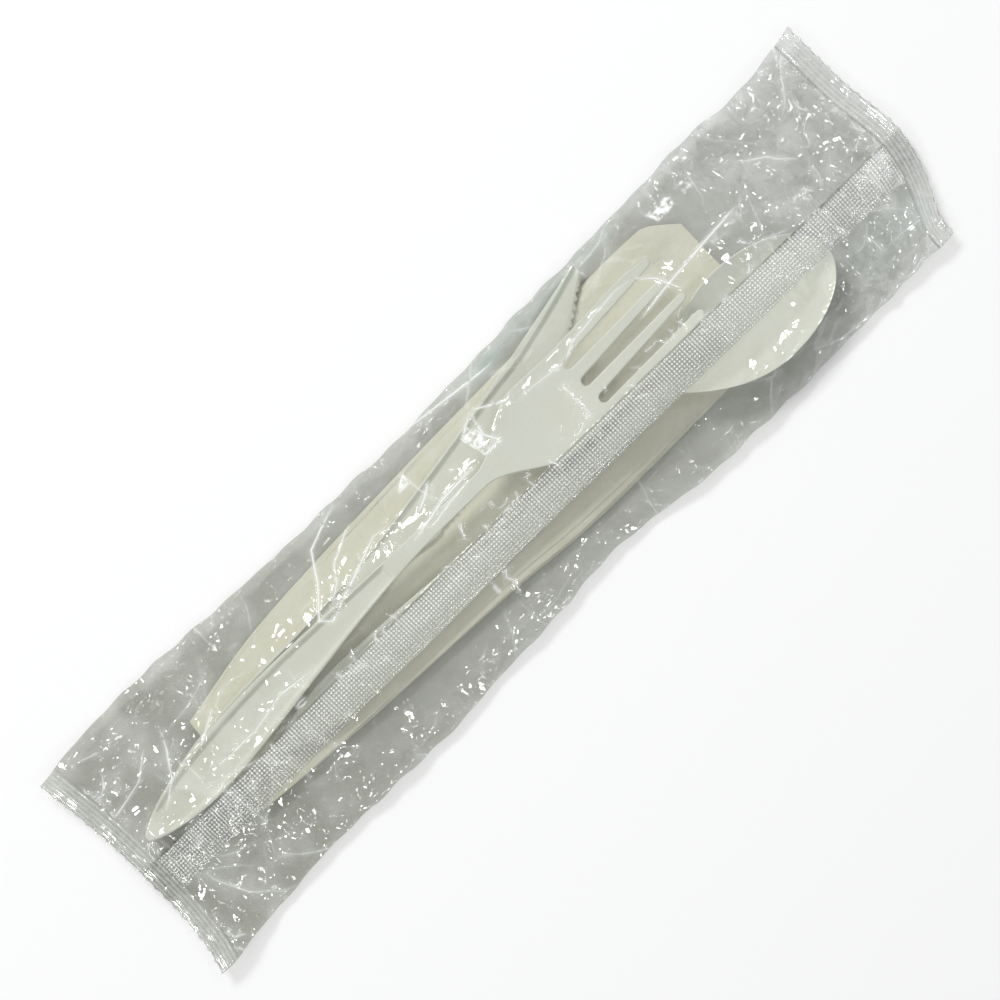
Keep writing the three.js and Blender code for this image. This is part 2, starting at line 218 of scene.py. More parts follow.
class Mixer:
    """Makes one node material, one node at a time."""

    def __init__(self, name: str) -> None:
        """Starts an empty material with an output node.

        Args:
            name: the material's name.
        """
        self.material = bpy.data.materials.new(name)
        self.material.use_nodes = True
        self.tree = self.material.node_tree
        self.tree.nodes.clear()
        self.output = self.tree.nodes.new("ShaderNodeOutputMaterial")

    def put(self, socket: Socket, value: object) -> None:
        """Links a socket to another node's socket, or sets it to a plain value.

        Args:
            socket: the socket to fill.
            value: a socket, a plain value, or None to leave it alone.
        """
        if isinstance(value, Socket):
            self.tree.links.new(value, socket)
        elif value is not None:
            socket.default_value = value

    def node(self, kind: str, *inputs: object, **settings: object) -> bpy.types.Node:
        """Adds a node.

        Args:
            kind: the node's type, without the ShaderNode prefix.
            inputs: values or sockets for its first inputs, None to leave one as it is.
            settings: its settings; a name that is one of its inputs, with _ for a space, fills that input.

        Returns:
            The node.
        """
        made = self.tree.nodes.new("ShaderNode" + kind)
        for name, value in settings.items():
            if hasattr(made, name):
                setattr(made, name, value)
            else:
                self.put(made.inputs[name.replace("_", " ")], value)
        for socket, value in zip(made.inputs, inputs):
            self.put(socket, value)
        return made

    def sum(self, operation: str, a: object, b: object = None, c: object = None) -> Socket:
        """One step of arithmetic on numbers."""
        return self.node("Math", a, b, c, operation=operation).outputs[0]

    def place(self, scale: tuple[float, float, float] = (1, 1, 1), turn: float = 0) -> Socket:
        """The point on the object in millimetres, scaled and turned about Z.

        Args:
            scale: factor along each axis, after the change to millimetres.
            turn: turn about Z in radians.

        Returns:
            The placed point.
        """
        coordinate = self.node("TexCoord").outputs["Object"]
        scaled = tuple(PER_METRE * s for s in scale)
        return self.node("Mapping", coordinate, None, (0, 0, turn), scaled).outputs[0]

    def noise(self, vector: object, scale: float, detail: float = 2, rough: float = 0.5) -> Socket:
        """Soft noise from 0 to 1 with so many cells for each millimetre."""
        made = self.node("TexNoise", Vector=vector, Scale=scale, Detail=detail, Roughness=rough)
        return made.outputs["Fac"]

    def spread(self, value: object, low: float, high: float, to_low: float, to_high: float) -> Socket:
        """A number moved from one range to another, held at the ends."""
        return self.node("MapRange", value, low, high, to_low, to_high).outputs[0]

    def blend(self, share: object, a: object, b: object) -> Socket:
        """A colour between two others.

        Args:
            share: 0 for the first colour and 1 for the second.
            a: the first colour.
            b: the second colour.

        Returns:
            The colour.
        """
        made = self.tree.nodes.new("ShaderNodeMix")
        made.data_type = "RGBA"
        self.put(made.inputs[0], share)
        self.put(made.inputs[6], a)
        self.put(made.inputs[7], b)
        return made.outputs[2]

    def bump(self, height_mm: object) -> Socket:
        """A normal from a height in millimetres."""
        return self.node("Bump", 1, MM, Height=height_mm).outputs[0]

    def finish(self, surface: Socket) -> bpy.types.Material:
        """Links the surface to the output and gives the material."""
        self.put(self.output.inputs["Surface"], surface)
        return self.material


@dataclass(frozen=True)
class MouldedPlastic:
    """Pale moulded plastic: satin, faintly mottled, with a very fine grain and a few flow marks."""

    name: str
    colour: Colour = (0.945, 0.955, 0.885, 1)
    deep: Colour = (0.92, 0.93, 0.84, 1)
    rough: Pair = (0.3, 0.44)
    mottle_scale: float = 0.09
    flow_scale: float = 0.9
    flow_height: float = 0.05
    grain_scale: float = 3.2
    grain_height: float = 0.012
    refraction: float = 1.49

    def material(self) -> bpy.types.Material:
        """Builds the finish: two soft colours, a grain and flow marks that run along the pack.

        Returns:
            The material.
        """
        m = Mixer(self.name)
        mottle = m.noise(m.place(), self.mottle_scale, 3, 0.6)
        flow = m.noise(m.place((0.05, 1, 1)), self.flow_scale, 2)
        colour = m.blend(m.spread(mottle, 0.3, 0.7, 0, 1), self.colour, self.deep)
        grain = m.noise(m.place(), self.grain_scale, 2)
        height = m.sum("MULTIPLY_ADD", flow, self.flow_height, m.sum("MULTIPLY", grain, self.grain_height))
        rough = m.spread(m.noise(m.place(), 0.4, 3), 0.3, 0.7, *self.rough)
        shader = m.node("BsdfPrincipled", Base_Color=colour, Roughness=rough, Normal=m.bump(height))
        shader.inputs["IOR"].default_value = self.refraction
        return m.finish(shader.outputs[0])


@dataclass(frozen=True)
class Tissue:
    """Soft napkin tissue: warm off-white, with fibres, a fine pressed pattern and a matt surface."""

    name: str = "napkin_tissue"
    colour: Colour = (0.94, 0.93, 0.82, 1)
    shade: Colour = (0.90, 0.87, 0.70, 1)
    rough: Pair = (0.85, 1.0)
    fibre_stretch: tuple[float, float, float] = (0.35, 1.6, 1)
    fibre_height: float = 0.08
    dot_scale: float = 0.9
    dot_height: float = 0.07
    sheen: float = 0.15

    def material(self) -> bpy.types.Material:
        """Builds the finish: fibres along the pack, soft clouds of colour and pressed dots.

        Returns:
            The material.
        """
        m = Mixer(self.name)
        fibre = m.noise(m.place(self.fibre_stretch), 1.4, 4, 0.65)
        cloud = m.noise(m.place(), 0.12, 3)
        dots = m.node("TexVoronoi", Vector=m.place(), Scale=self.dot_scale).outputs["Distance"]
        share = m.sum("ADD", m.spread(fibre, 0.35, 0.7, 0, 0.35), m.spread(cloud, 0.35, 0.7, 0, 0.3))
        colour = m.blend(share, self.colour, self.shade)
        height = m.sum("MULTIPLY_ADD", dots, self.dot_height, m.sum("MULTIPLY", fibre, self.fibre_height))
        rough = m.spread(fibre, 0.3, 0.7, *self.rough)
        shader = m.node("BsdfPrincipled", Base_Color=colour, Roughness=rough, Normal=m.bump(height))
        shader.inputs["Sheen Weight"].default_value = self.sheen
        return m.finish(shader.outputs[0])


@dataclass(frozen=True)
class ClearFilm:
    """Thin clear wrapping film: a grey tint, sharp glints on its creases, dots pressed into its seals.

    It reads numbers kept on the sheet: crumple (how creased), seal (pressed with dots), comb (pressed with
    the end crimp's rows), cool (a cooler tint), a darker tint that is painted shade, strongest towards the
    left end, the crimps' own slight milkiness with painted highlights where the film glints, and the distance
    and depth of the nearest crease, which also sets a painted highlight along each crease.
    """

    name: str = "clear_wrapping_film"
    tint: Colour = (0.912, 0.917, 0.909, 1)
    tilted_tint: Colour = (0.80, 0.805, 0.79, 1)
    cool_tint: Colour = (0.83, 0.925, 0.915, 1)
    # Painted shade: the darker tint laid on the film towards its left end.
    painted_shade_tint: Colour = (0.735, 0.74, 0.7, 1)
    shadow_tint: Colour = (0.715, 0.72, 0.702, 1)
    sealed_shadow_tint: Colour = (0.92, 0.925, 0.915, 1)
    haze_colour: Colour = (0.95, 0.96, 0.95, 1)
    rough: Pair = (0.025, 0.08)
    straight_on: float = 0.08
    tilt: Pair = (0.004, 0.1)
    dot_pitch: float = 0.78
    dot_depth: float = 0.1
    comb_pitch: float = 0.95
    comb_depth: float = 0.06
    line_width: float = 0.2
    least_haze: float = 0.03
    # Painted sheen: soft whitish clouds over crumpled film.
    painted_sheen_haze: float = 0.16
    # Painted highlight: white haze along each crease.
    painted_crease_highlight: float = 3.2
    # Painted highlight: white haze on each of the fin's dots.
    painted_dot_highlight: float = 0.7
    seal_haze: float = 0.05
    # Painted highlight: white haze on each of the crimps' rows.
    painted_comb_highlight: float = 0.16
    facet_bend: float = 7
    square_facet: Pair = (0.075, 2.9)
    diamond_facet: Pair = (0.17, 0.6)

    def material(self) -> bpy.types.Material:
        """Builds the finish.

        Returns:
            The material.
        """
        m = Mixer(self.name)
        names = ("crumple", "seal", "comb", "cool", "painted_shade", "crimp_milk_and_painted_glints", "line_distance", "line_depth")
        kept = {name: m.node("Attribute", attribute_name=name).outputs["Fac"] for name in names}
        along, across, _ = m.node("SeparateXYZ", m.node("UVMap", uv_map="flat").outputs[0]).outputs
        dots = m.sum("MULTIPLY", self.wave(m, along, self.dot_pitch), self.wave(m, across, self.dot_pitch))
        dots = m.sum("MULTIPLY", dots, kept["seal"])
        comb = m.sum("MULTIPLY", self.wave(m, along, self.comb_pitch), kept["comb"])
        line = self.line(m, kept["line_distance"], kept["line_depth"])
        height = m.sum("MULTIPLY_ADD", self.crinkle(m), kept["crumple"], line)
        height = m.sum("MULTIPLY_ADD", dots, self.dot_depth, height)
        height = m.sum("MULTIPLY_ADD", comb, self.comb_depth, height)
        normal = m.bump(height)
        facing = m.node("LayerWeight", 0.5, normal).outputs["Facing"]
        gloss_share = m.sum("MULTIPLY_ADD", m.sum("POWER", facing, 5), 1 - self.straight_on, self.straight_on)
        tint = m.blend(m.spread(facing, *self.tilt, 0, 1), self.tint, self.tilted_tint)
        # Painted shade: the film's tint darkens along the pack, most at the left end; then the cooler tint.
        tint = m.blend(kept["cool"], m.blend(kept["painted_shade"], tint, self.painted_shade_tint), self.cool_tint)
        rough = m.spread(m.noise(m.place(), 0.4, 1), 0.3, 0.7, *self.rough)
        clear = m.node("BsdfTransparent", tint)
        gloss = m.node("BsdfGlossy", (1, 1, 1, 1), rough, Normal=normal)
        haze = m.node("BsdfDiffuse", self.haze_colour, 0.5, normal)
        haze_share = self.haze(m, kept, line, dots, comb)
        body = m.node("MixShader", haze_share, clear.outputs[0], haze.outputs[0])
        surface = m.node("MixShader", gloss_share, body.outputs[0], gloss.outputs[0])
        shadow = m.node("BsdfTransparent", m.blend(kept["seal"], self.shadow_tint, self.sealed_shadow_tint))
        in_shadow = m.node("LightPath").outputs["Is Shadow Ray"]
        return m.finish(m.node("MixShader", in_shadow, surface.outputs[0], shadow.outputs[0]).outputs[0])

    def haze(self, m: Mixer, kept: dict[str, Socket], line: Socket, dots: Socket, comb: Socket) -> Socket:
        """How whitish the film is: its own slight milkiness, more on the seals and crimps, and white haze
        that paints
        highlights and sheen: on creases, dots and crimp rows, in glint patches and in clouds over crumpled
        film.

        Args:
            m: the material being made.
            kept: the numbers kept on the sheet.
            line: height of the creases.
            dots: height of the fin's dots.
            comb: height of the crimps' rows.

        Returns:
            The share of haze.
        """
        # Painted highlights: white haze in the glint patches, broken up by noise, with the crimps' own slight
        # milkiness.
        broken = m.spread(m.noise(m.place(), 0.7, 1), 0.4, 0.58, 0.1, 1.4)
        share = m.sum("MULTIPLY_ADD", kept["crimp_milk_and_painted_glints"], broken, self.least_haze)
        # Painted sheen: soft clouds of white haze over crumpled film, standing in for its reflections.
        cloud = m.spread(m.noise(m.place(), 0.13, 2), 0.42, 0.68, 0, self.painted_sheen_haze)
        share = m.sum("MULTIPLY_ADD", kept["crumple"], cloud, share)
        # Painted highlights along the creases, on the fin's dots and on the crimps' rows; then the seals' own
        # slight milkiness.
        parts = ((line, self.painted_crease_highlight), (dots, self.painted_dot_highlight), (kept["seal"], self.seal_haze),
                 (comb, self.painted_comb_highlight))
        for part, strength in parts:
            share = m.sum("MULTIPLY_ADD", part, strength, share)
        return share

    def crinkle(self, m: Mixer) -> Socket:
        """Broad facets: square cells and, turned and smaller, diamond cells of a slightly bent place.

        Args:
            m: the material being made.

        Returns:
            The height in millimetres.
        """
        bend = m.node("TexNoise", Vector=m.place(), Scale=0.13, Detail=1).outputs["Color"]
        bent = m.node("VectorMath", bend, (self.facet_bend,) * 3, operation="MULTIPLY").outputs[0]
        height = 0.0
        for turn, (scale, rise), metric in (
            (1.3, self.diamond_facet, "MANHATTAN"), (0.4, self.square_facet, "CHEBYCHEV"),
        ):
            place = m.node("VectorMath", m.place(turn=turn), bent, operation="ADD").outputs[0]
            cell = m.node("TexVoronoi", Vector=place, Scale=scale, distance=metric).outputs["Distance"]
            height = m.sum("MULTIPLY_ADD", cell, rise, height)
        return height

    def wave(self, m: Mixer, metres: Socket, pitch: float) -> Socket:
        """Square of a sine, so one bump for each pitch along the sheet.

        Args:
            m: the material being made.
            metres: place along the sheet.
            pitch: distance between bumps in millimetres.

        Returns:
            The wave, from 0 to 1.
        """
        wave = m.sum("SINE", m.sum("MULTIPLY", metres, PER_METRE * math.pi / pitch))
        return m.sum("MULTIPLY", wave, wave)

    def line(self, m: Mixer, distance: Socket, depth: Socket) -> Socket:
        """A thin ridge over the nearest crease: its depth over 1 + (distance over width) squared.

        Args:
            m: the material being made.
            distance: distance from the crease in millimetres.
            depth: the crease's height in millimetres.

        Returns:
            The ridge's height in millimetres.
        """
        share = m.sum("DIVIDE", distance, self.line_width)
        return m.sum("DIVIDE", depth, m.sum("MULTIPLY_ADD", share, share, 1))


# ---------------------------------------------------------------- utensils


@dataclass
class Utensil:
    """What the three moulded utensils share: a handle with a sunk panel, and a way to make the mesh.

    s runs along the utensil from the handle's end, side runs across it from -1 to 1. Each kind of utensil
    gives its stations, its strips (low and high y at each s), side_of (the side at each s and y) and faces_at
    (heights of its underside and its top at each s and side).
    """

    name: str
    length: float
    handle_half: float
    neck_half: float
    neck_at: float
    panel_end: float
    at: Pair
    turn_deg: float
    sheet: float = 1.1
    round_length: float = 24
    handle_thickness: float = 2.1
    panel_depth: float = 0.8
    panel_start: float = 5
    panel_side: Pair = (0.68, 0.84)
    panel_ends: Pair = (3, 1.5)
    blunt_end: float = 0.5
    end_rows: float = 0.9
    edge_round: float = 0.32
    columns: int = 56

    def handle(self, s: Array, half: float, neck_half: float, neck_at: float) -> Array:
        """Half-width of the handle: a pointed arch, (1 - gap squared) to the power 0.75, then a cosine taper.

        Args:
            s: distance from the handle's end.
            half: half-width where the arch ends.
            neck_half: half-width at the neck.
            neck_at: where the neck is.

        Returns:
            The half-width at each s.
        """
        gap = np.clip(self.round_length - s, 0, None) / self.round_length
        arch = self.blunt_end + (half - self.blunt_end) * np.clip(1 - gap**2, 0, None) ** 0.75
        share = np.clip((s - self.round_length) / (neck_at - self.round_length), 0, 1)
        taper = neck_half + (half - neck_half) * (1 + np.cos(np.pi * share)) / 2
        return np.where(s < self.round_length, arch, taper)

    def panel(self, s: Array, side: Array) -> Array:
        """How far the top face drops inside the raised rim: an S across times an S at each end.

        Args:
            s: distance from the handle's end.
            side: side, from -1 to 1.

        Returns:
            The drop at each place.
        """
        in_rim = 1 - ease(np.abs(side), *self.panel_side)
        first, last = self.panel_ends
        drop = self.panel_depth * in_rim * ease(s, self.panel_start, self.panel_start + first)
        return drop * (1 - ease(s, self.panel_end - last, self.panel_end))

    def handle_end(self) -> Array:
        """Close stations at the handle's end, up to half a millimetre: squares of even steps."""
        return 0.5 * np.linspace(0, 1, 6) ** 2

    def slot_root(self) -> float:
        """Where the strips part; past the utensil's length when they never do."""
        return self.length + 1

    def to_pack(self, s: Array, y: Array) -> tuple[Array, Array]:
        """Turns and moves the utensil's own place into the pack.

        Args:
            s: distance from the handle's end.
            y: distance from the axis.

        Returns:
            The pack's x and y.
        """
        turn = math.radians(self.turn_deg)
        x = self.at[0] + s * math.cos(turn) - y * math.sin(turn)
        return x, self.at[1] + s * math.sin(turn) + y * math.cos(turn)

    def top_over(self, x: Array, y: Array) -> Array:
        """Height of the top face under each x and y of the pack, 0 where the utensil isn't.

        Args:
            x: pack x of the places.
            y: pack y of the places.

        Returns:
            The height at each place.
        """
        turn = math.radians(self.turn_deg)
        dx, dy = x - self.at[0], y - self.at[1]
        s = dx * math.cos(turn) + dy * math.sin(turn)
        across = dy * math.cos(turn) - dx * math.sin(turn)
        inside = (s >= 0) & (s <= self.length)
        held = np.clip(s, 0, self.length)
        strips = self.strips(held)
        low, high = strips[0][0], strips[-1][1]
        inside &= (across >= low) & (across <= high)
        side = np.clip(self.side_of(held, np.clip(across, low, high)), -1, 1)
        top = self.faces_at(held, side)[1] + self.panel(held, side)
        return np.where(inside, top, 0.0)

    def build(self) -> Object:
        """Makes the mesh: a top and an underside over the same strips, joined by walls, with rounded edges.

        The edges are rounded by a quarter circle of the edge radius, measured from the nearest edge.

        Returns:
            The utensil.
        """
        s = self.stations()
        strips = self.strips(s)
        per_strip = self.columns // len(strips)
        share = gathered(per_strip)[None, :]
        rows = len(s)
        points, quads = [], []
        first = 0
        root = self.slot_root()
        for number, (low, high) in enumerate(strips):
            y = mix(low[:, None], high[:, None], share)
            along = np.broadcast_to(s[:, None], y.shape)
            outer_low = np.broadcast_to((number == 0) | (s > root), (rows,))[:, None]
            outer_high = np.broadcast_to((number == len(strips) - 1) | (s > root), (rows,))[:, None]
            from_low = np.where(outer_low, y - low[:, None], NO_EDGE)
            from_high = np.where(outer_high, high[:, None] - y, NO_EDGE)
            from_end = np.minimum(along, self.length - along)
            gap = np.clip(np.minimum(np.minimum(from_low, from_high), from_end), 0, self.edge_round)
            drop = self.edge_round - np.sqrt(self.edge_round**2 - (self.edge_round - gap) ** 2)
            side = np.clip(self.side_of(along, y), -1, 1)
            bottom, top = self.faces_at(along, side)
            x_pack, y_pack = self.to_pack(along, y)
            upper = np.stack([x_pack, y_pack, top - drop], axis=-1).reshape(-1, 3)
            lower = np.stack([x_pack, y_pack, bottom + drop], axis=-1).reshape(-1, 3)
            points += [upper, lower]
            count = len(upper)
            quads.append(strip_quads(rows, per_strip, first))
            quads.append(strip_quads(rows, per_strip, first + count)[:, ::-1])
            quads.append(self.walls(s, per_strip, first, count, number, len(strips)))
            first += 2 * count
        piece = new_piece(self.name, np.concatenate(points), np.concatenate(quads))
        join_doubles(piece)
        return piece

    def walls(self, s: Array, columns: int, first: int, count: int, number: int, strips: int) -> Array:
        """Quads round the rim of one strip, between its top and its underside.

        Args:
            s: the stations.
            columns: points across the strip.
            first: number of the strip's first top point.
            count: top points in the strip.
            number: which strip it is.
            strips: how many strips there are.

        Returns:
            The walls' quads.
        """
        rows = len(s)
        row = np.arange(rows - 1)
        parted = s[:-1] >= self.slot_root() - NEAR
        made = []
        for column, outer in ((0, number == 0), (columns - 1, number == strips - 1)):
            used = row if outer else row[parted]
            a = first + used * columns + column
            b = a + columns
            wall = np.stack([a, a + count, b + count, b], axis=1)
            made.append(wall if column == 0 else wall[:, ::-1])
        across = np.arange(columns - 1)
        for end, station in ((0, 0), (1, rows - 1)):
            a = first + station * columns + across
            wall = np.stack([a, a + 1, a + 1 + count, a + count], axis=1)
            made.append(wall if end == 0 else wall[:, ::-1])
        return np.concatenate(made)


def join_doubles(piece: Object) -> None:
    """Merges points that lie on each other and turns every face outwards.

    Args:
        piece: the piece to change.
    """
    work = bmesh.new()
    work.from_mesh(piece.data)
    bmesh.ops.remove_doubles(work, verts=work.verts, dist=NEAR)
    bmesh.ops.recalc_face_normals(work, faces=work.faces)
    work.to_mesh(piece.data)
    work.free()
    piece.data.polygons.foreach_set("use_smooth", np.full(len(piece.data.polygons), True))
    piece.data.update()


@dataclass
class Fork(Utensil):
    """The fork: an arched handle, a shallow dished head and four tines, bowed sideways a little."""

    head_half: float = 10.1
    flare_at: float = 109
    head_at: float = 128
    root: float = 140
    slot: float = 2.3
    slot_tip: float = 3.6
    tine_pitch: float = 5.4
    tip_narrowing: float = 1.1
    dish: float = 0.6
    tip_round: float = 1.3
    tip_least: float = 0.08
    columns: int = 72
    line: SmoothLine = SmoothLine((
        (0, 3.3), (25, 5.4), (70, 6.2), (105, 7.3), (135, 7.4), (152, 8.3), (170, 8.7),
    ))
    bow: SmoothLine = SmoothLine((
        (0, 0), (22, 0.6), (50, 1.8), (80, 1.8), (98, 1.2), (120, 0.1), (140, -1.2),
    ))

    def half(self, s: Array) -> Array:
        """Half-width: the handle, plus an S to the head, less a little at the tips.

        Args:
            s: distance from the handle's end.

        Returns:
            The half-width at each s.
        """
        stem = self.handle(s, self.handle_half, self.neck_half, self.neck_at)
        head = stem + (self.head_half - self.neck_half) * ease(s, self.flare_at, self.head_at)
        return head - self.tip_narrowing * ease(s, self.length - 9, self.length + 2)

    def slot_root(self) -> float:
        """Where the slots begin."""
        return self.root

    def stations(self) -> Array:
        """Even stations along the stem and the tines, close ones round the slots' roots and at the tips.

        Returns:
            The distances from the handle's end.
        """
        stem = np.linspace(self.end_rows, self.root, 200)
        radius = self.slot / 2
        bend = self.root + radius * (1 - np.cos(np.linspace(0, np.pi / 2, 9)[1:]))
        tines = np.linspace(self.root + radius, self.length - self.tip_round, 50)[1:]
        tips = self.length - self.tip_round * (1 - quarter(10))
        return np.concatenate([self.handle_end(), stem, bend, tines, tips])

    def strips(self, s: Array) -> list[tuple[Array, Array]]:
        """Four strips, which share edges on the stem and part at the slots; each tine has a round end.

        Args:
            s: distance from the handle's end.

        Returns:
            Low and high y of each strip.
        """
        half = self.half(s)
        radius = self.slot / 2
        into = np.clip(s - self.root, 0, radius)
        width = 2 * radius * rounded(1 - into / radius)
        past = np.clip((s - self.root - radius) / (self.length - self.root - radius), 0, 1)
        width = width + (self.slot_tip - self.slot) * past
        pitch = self.tine_pitch * np.minimum(1, half / self.half(np.array(self.root)))
        pitch = np.where(s >= self.root, self.tine_pitch, pitch)
        lows = [-half, -pitch + width / 2, width / 2, pitch + width / 2]
        highs = [-pitch - width / 2, -width / 2, pitch - width / 2, half]
        ahead = np.clip((s - (self.length - self.tip_round)) / self.tip_round, 0, 1)
        bow, blunt = self.bow.at(s), np.maximum(rounded(ahead), self.tip_least)
        made = []
        for low, high in zip(lows, highs):
            middle, reach = bow + (low + high) / 2, (high - low) / 2 * blunt
            made.append((middle - reach, middle + reach))
        return made

    def side_of(self, s: Array, y: Array) -> Array:
        """The distance from the bowed middle line as a share of the half-width."""
        return (y - self.bow.at(s)) / self.half(s)

    def faces_at(self, s: Array, side: Array) -> tuple[Array, Array]:
        """The underside follows the fork's line plus a dish that grows as side squared.

        Args:
            s: distance from the handle's end.
            side: side, from -1 to 1.

        Returns:
            Heights of the underside and of the top.
        """
        dish = self.dish * side**2 * ease(s, self.flare_at, self.head_at + 6)
        thickness = mix(self.handle_thickness, self.sheet, ease(s, self.flare_at + 2, self.head_at))
        bottom = self.line.at(s) + dish
        return bottom, bottom + thickness - self.panel(s, side)


@dataclass
class Knife(Utensil):
    """The knife: a straight back, a heel that widens below it, a belly and fine teeth."""

    heel_half: float = 4.2
    edge_half: float = 8.4
    belly_at: float = 122
    tip_rise: float = 4.1
    belly_rise: float = 11.6
    tooth_pitch: float = 1.8
    tooth_depth: float = 0.8
    spine: float = 0.9
    spine_side: Pair = (0.6, 0.75)
    thinning: float = 0.5
    heel_run: float = 14
    tip_round: float = 0.6
    tip_least: float = 0.3
    line: SmoothLine = SmoothLine(((0, 0.8), (22, 2.5), (30, 2.7), (90, 2.7), (158.8, 2.7)))

    def stations(self) -> Array:
        """Close stations at the handle's end, wider ones along the handle and close ones along the teeth.

        Returns:
            The distances from the handle's end.
        """
        handle = np.linspace(self.end_rows, self.neck_at + 8, 120)
        blade = np.linspace(self.neck_at + 8.3, self.length - self.tip_round, 330)
        tip = self.length - self.tip_round * (1 - quarter(6))
        return np.concatenate([self.handle_end(), handle, blade, tip])

    def upper(self, s: Array) -> Array:
        """The back's y: the handle's half-width, plus a rise that grows as the power 1.8 of the way."""
        blade = np.clip(s - self.neck_at, 0, None) / (self.length - self.neck_at)
        return self.handle(s, self.handle_half, self.neck_half, self.neck_at) + self.tip_rise * blade**1.8

    def lower(self, s: Array) -> Array:
        """The edge's distance below the axis, without teeth: handle, heel, then the belly's rise.

        Args:
            s: distance from the handle's end.

        Returns:
            The distance at each s.
        """
        handle = self.handle(s, self.handle_half, self.heel_half, self.neck_at - 6)
        heel = (self.edge_half - self.heel_half) * ease(s, self.neck_at - 4, self.neck_at + self.heel_run)
        belly = np.clip(s - self.belly_at, 0, None) / (self.length - self.belly_at)
        return handle + heel - self.belly_rise * belly**2.2

    def teeth(self, s: Array) -> Array:
        """Bite of the notches between the teeth: a triangle wave along the edge.

        Args:
            s: distance from the handle's end.

        Returns:
            The depth of the bite at each s.
        """
        first = self.neck_at + self.heel_run
        wave = 1 - np.abs(2 * np.mod((s - first) / self.tooth_pitch, 1) - 1)
        return self.tooth_depth * wave * ((s > first) & (s < self.length - 3))

    def strips(self, s: Array) -> list[tuple[Array, Array]]:
        """One strip from the toothed edge to the back, closing to a small round tip.

        Args:
            s: distance from the handle's end.

        Returns:
            Low and high y of the strip.
        """
        low, high = self.teeth(s) - self.lower(s), self.upper(s)
        ahead = np.clip((s - (self.length - self.tip_round)) / self.tip_round, 0, 1)
        middle, reach = (low + high) / 2, (high - low) / 2 * np.maximum(rounded(ahead), self.tip_least)
        return [(middle - reach, middle + reach)]

    def side_of(self, s: Array, y: Array) -> Array:
        """y as a share of the way to the back or to the edge, spread between both edges near the tip.

        Args:
            s: distance from the handle's end.
            y: distance from the axis.

        Returns:
            The side at each place.
        """
        up, down = self.upper(s), self.lower(s)
        plain = np.where(y > 0, y / np.maximum(up, 0.1), y / np.maximum(down, 0.1))
        spread = (y - (up - down) / 2) / ((up + down) / 2)
        return mix(np.clip(plain, -1, 1), spread, ease(s, self.belly_at, self.belly_at + 16))

    def faces_at(self, s: Array, side: Array) -> tuple[Array, Array]:
        """A thin blade with a rib along the back and a thinner cutting edge, blended out of the handle.

        Args:
            s: distance from the handle's end.
            side: side, from -1 to 1.

        Returns:
            Heights of the underside and of the top.
        """
        in_blade = ease(s, self.neck_at - 6, self.neck_at + 8)
        blade = self.sheet + self.spine * ease(side, *self.spine_side) - self.thinning * ease(-side, 0.5, 1)
        bottom = self.line.at(s)
        return bottom, bottom + mix(self.handle_thickness, blade, in_blade) - self.panel(s, side)


@dataclass
class Spoon(Utensil):
    """The spoon: a handle that rises to the rim of an oval bowl."""

    bowl_half: float = 12.9
    bowl_middle: float = 143.5
    bowl_back: float = 26
    bowl_depth: float = 3.8
    bowl_start: float = 118
    tip_spare: float = 0.2
    line: SmoothLine = SmoothLine(((0, 2.7), (60, 2.7), (90, 4.2), (110, 5.9), (120, 6.4), (165.4, 6.6)))

    def bowl_share(self, s: Array) -> Array:
        """0 at the neck, 1 at the bowl's widest place, 0 at its tip: a parabola behind, an ellipse ahead.

        Args:
            s: distance from the handle's end.

        Returns:
            The share at each s.
        """
        behind = (self.bowl_middle - s) / self.bowl_back
        ahead = (s - self.bowl_middle) / (self.length + self.tip_spare - self.bowl_middle)
        return np.where(s < self.bowl_middle, np.clip(1 - behind**2, 0, None), rounded(ahead))

    def stations(self) -> Array:
        """Close stations at the handle's end and round the bowl's tip.

        Returns:
            The distances from the handle's end.
        """
        stem = np.linspace(self.end_rows, self.bowl_start, 130)
        bowl = self.bowl_start + (self.length - self.bowl_start) * quarter(110)
        return np.concatenate([self.handle_end(), stem, bowl])

    def half(self, s: Array) -> Array:
        """The wider of the stem and the bowl, never under the blunt end.

        Args:
            s: distance from the handle's end.

        Returns:
            The half-width at each s.
        """
        stem = self.handle(s, self.handle_half, self.neck_half, self.neck_at)
        bowl = self.bowl_half * self.bowl_share(s)
        wide = np.where(s < self.bowl_middle - 10, np.maximum(stem, bowl), bowl)
        return np.maximum(self.blunt_end, wide)

    def strips(self, s: Array) -> list[tuple[Array, Array]]:
        """One strip, even on both sides."""
        half = self.half(s)
        return [(-half, half)]

    def side_of(self, s: Array, y: Array) -> Array:
        """y as a share of the half-width."""
        return y / self.half(s)

    def faces_at(self, s: Array, side: Array) -> tuple[Array, Array]:
        """The rim follows the spoon's line, and the bowl sinks below it as 1 - side squared.

        Args:
            s: distance from the handle's end.
            side: side, from -1 to 1.

        Returns:
            Heights of the underside and of the top.
        """
        depth = self.bowl_depth * (1 - side**2) * ease(self.bowl_share(s), 0.05, 0.95)
        thickness = mix(self.handle_thickness, self.sheet, ease(s, self.neck_at - 4, self.neck_at + 14))
        bottom = self.line.at(s) - depth
        return bottom, bottom + thickness - self.panel(s, side)


# ---------------------------------------------------------------- napkin


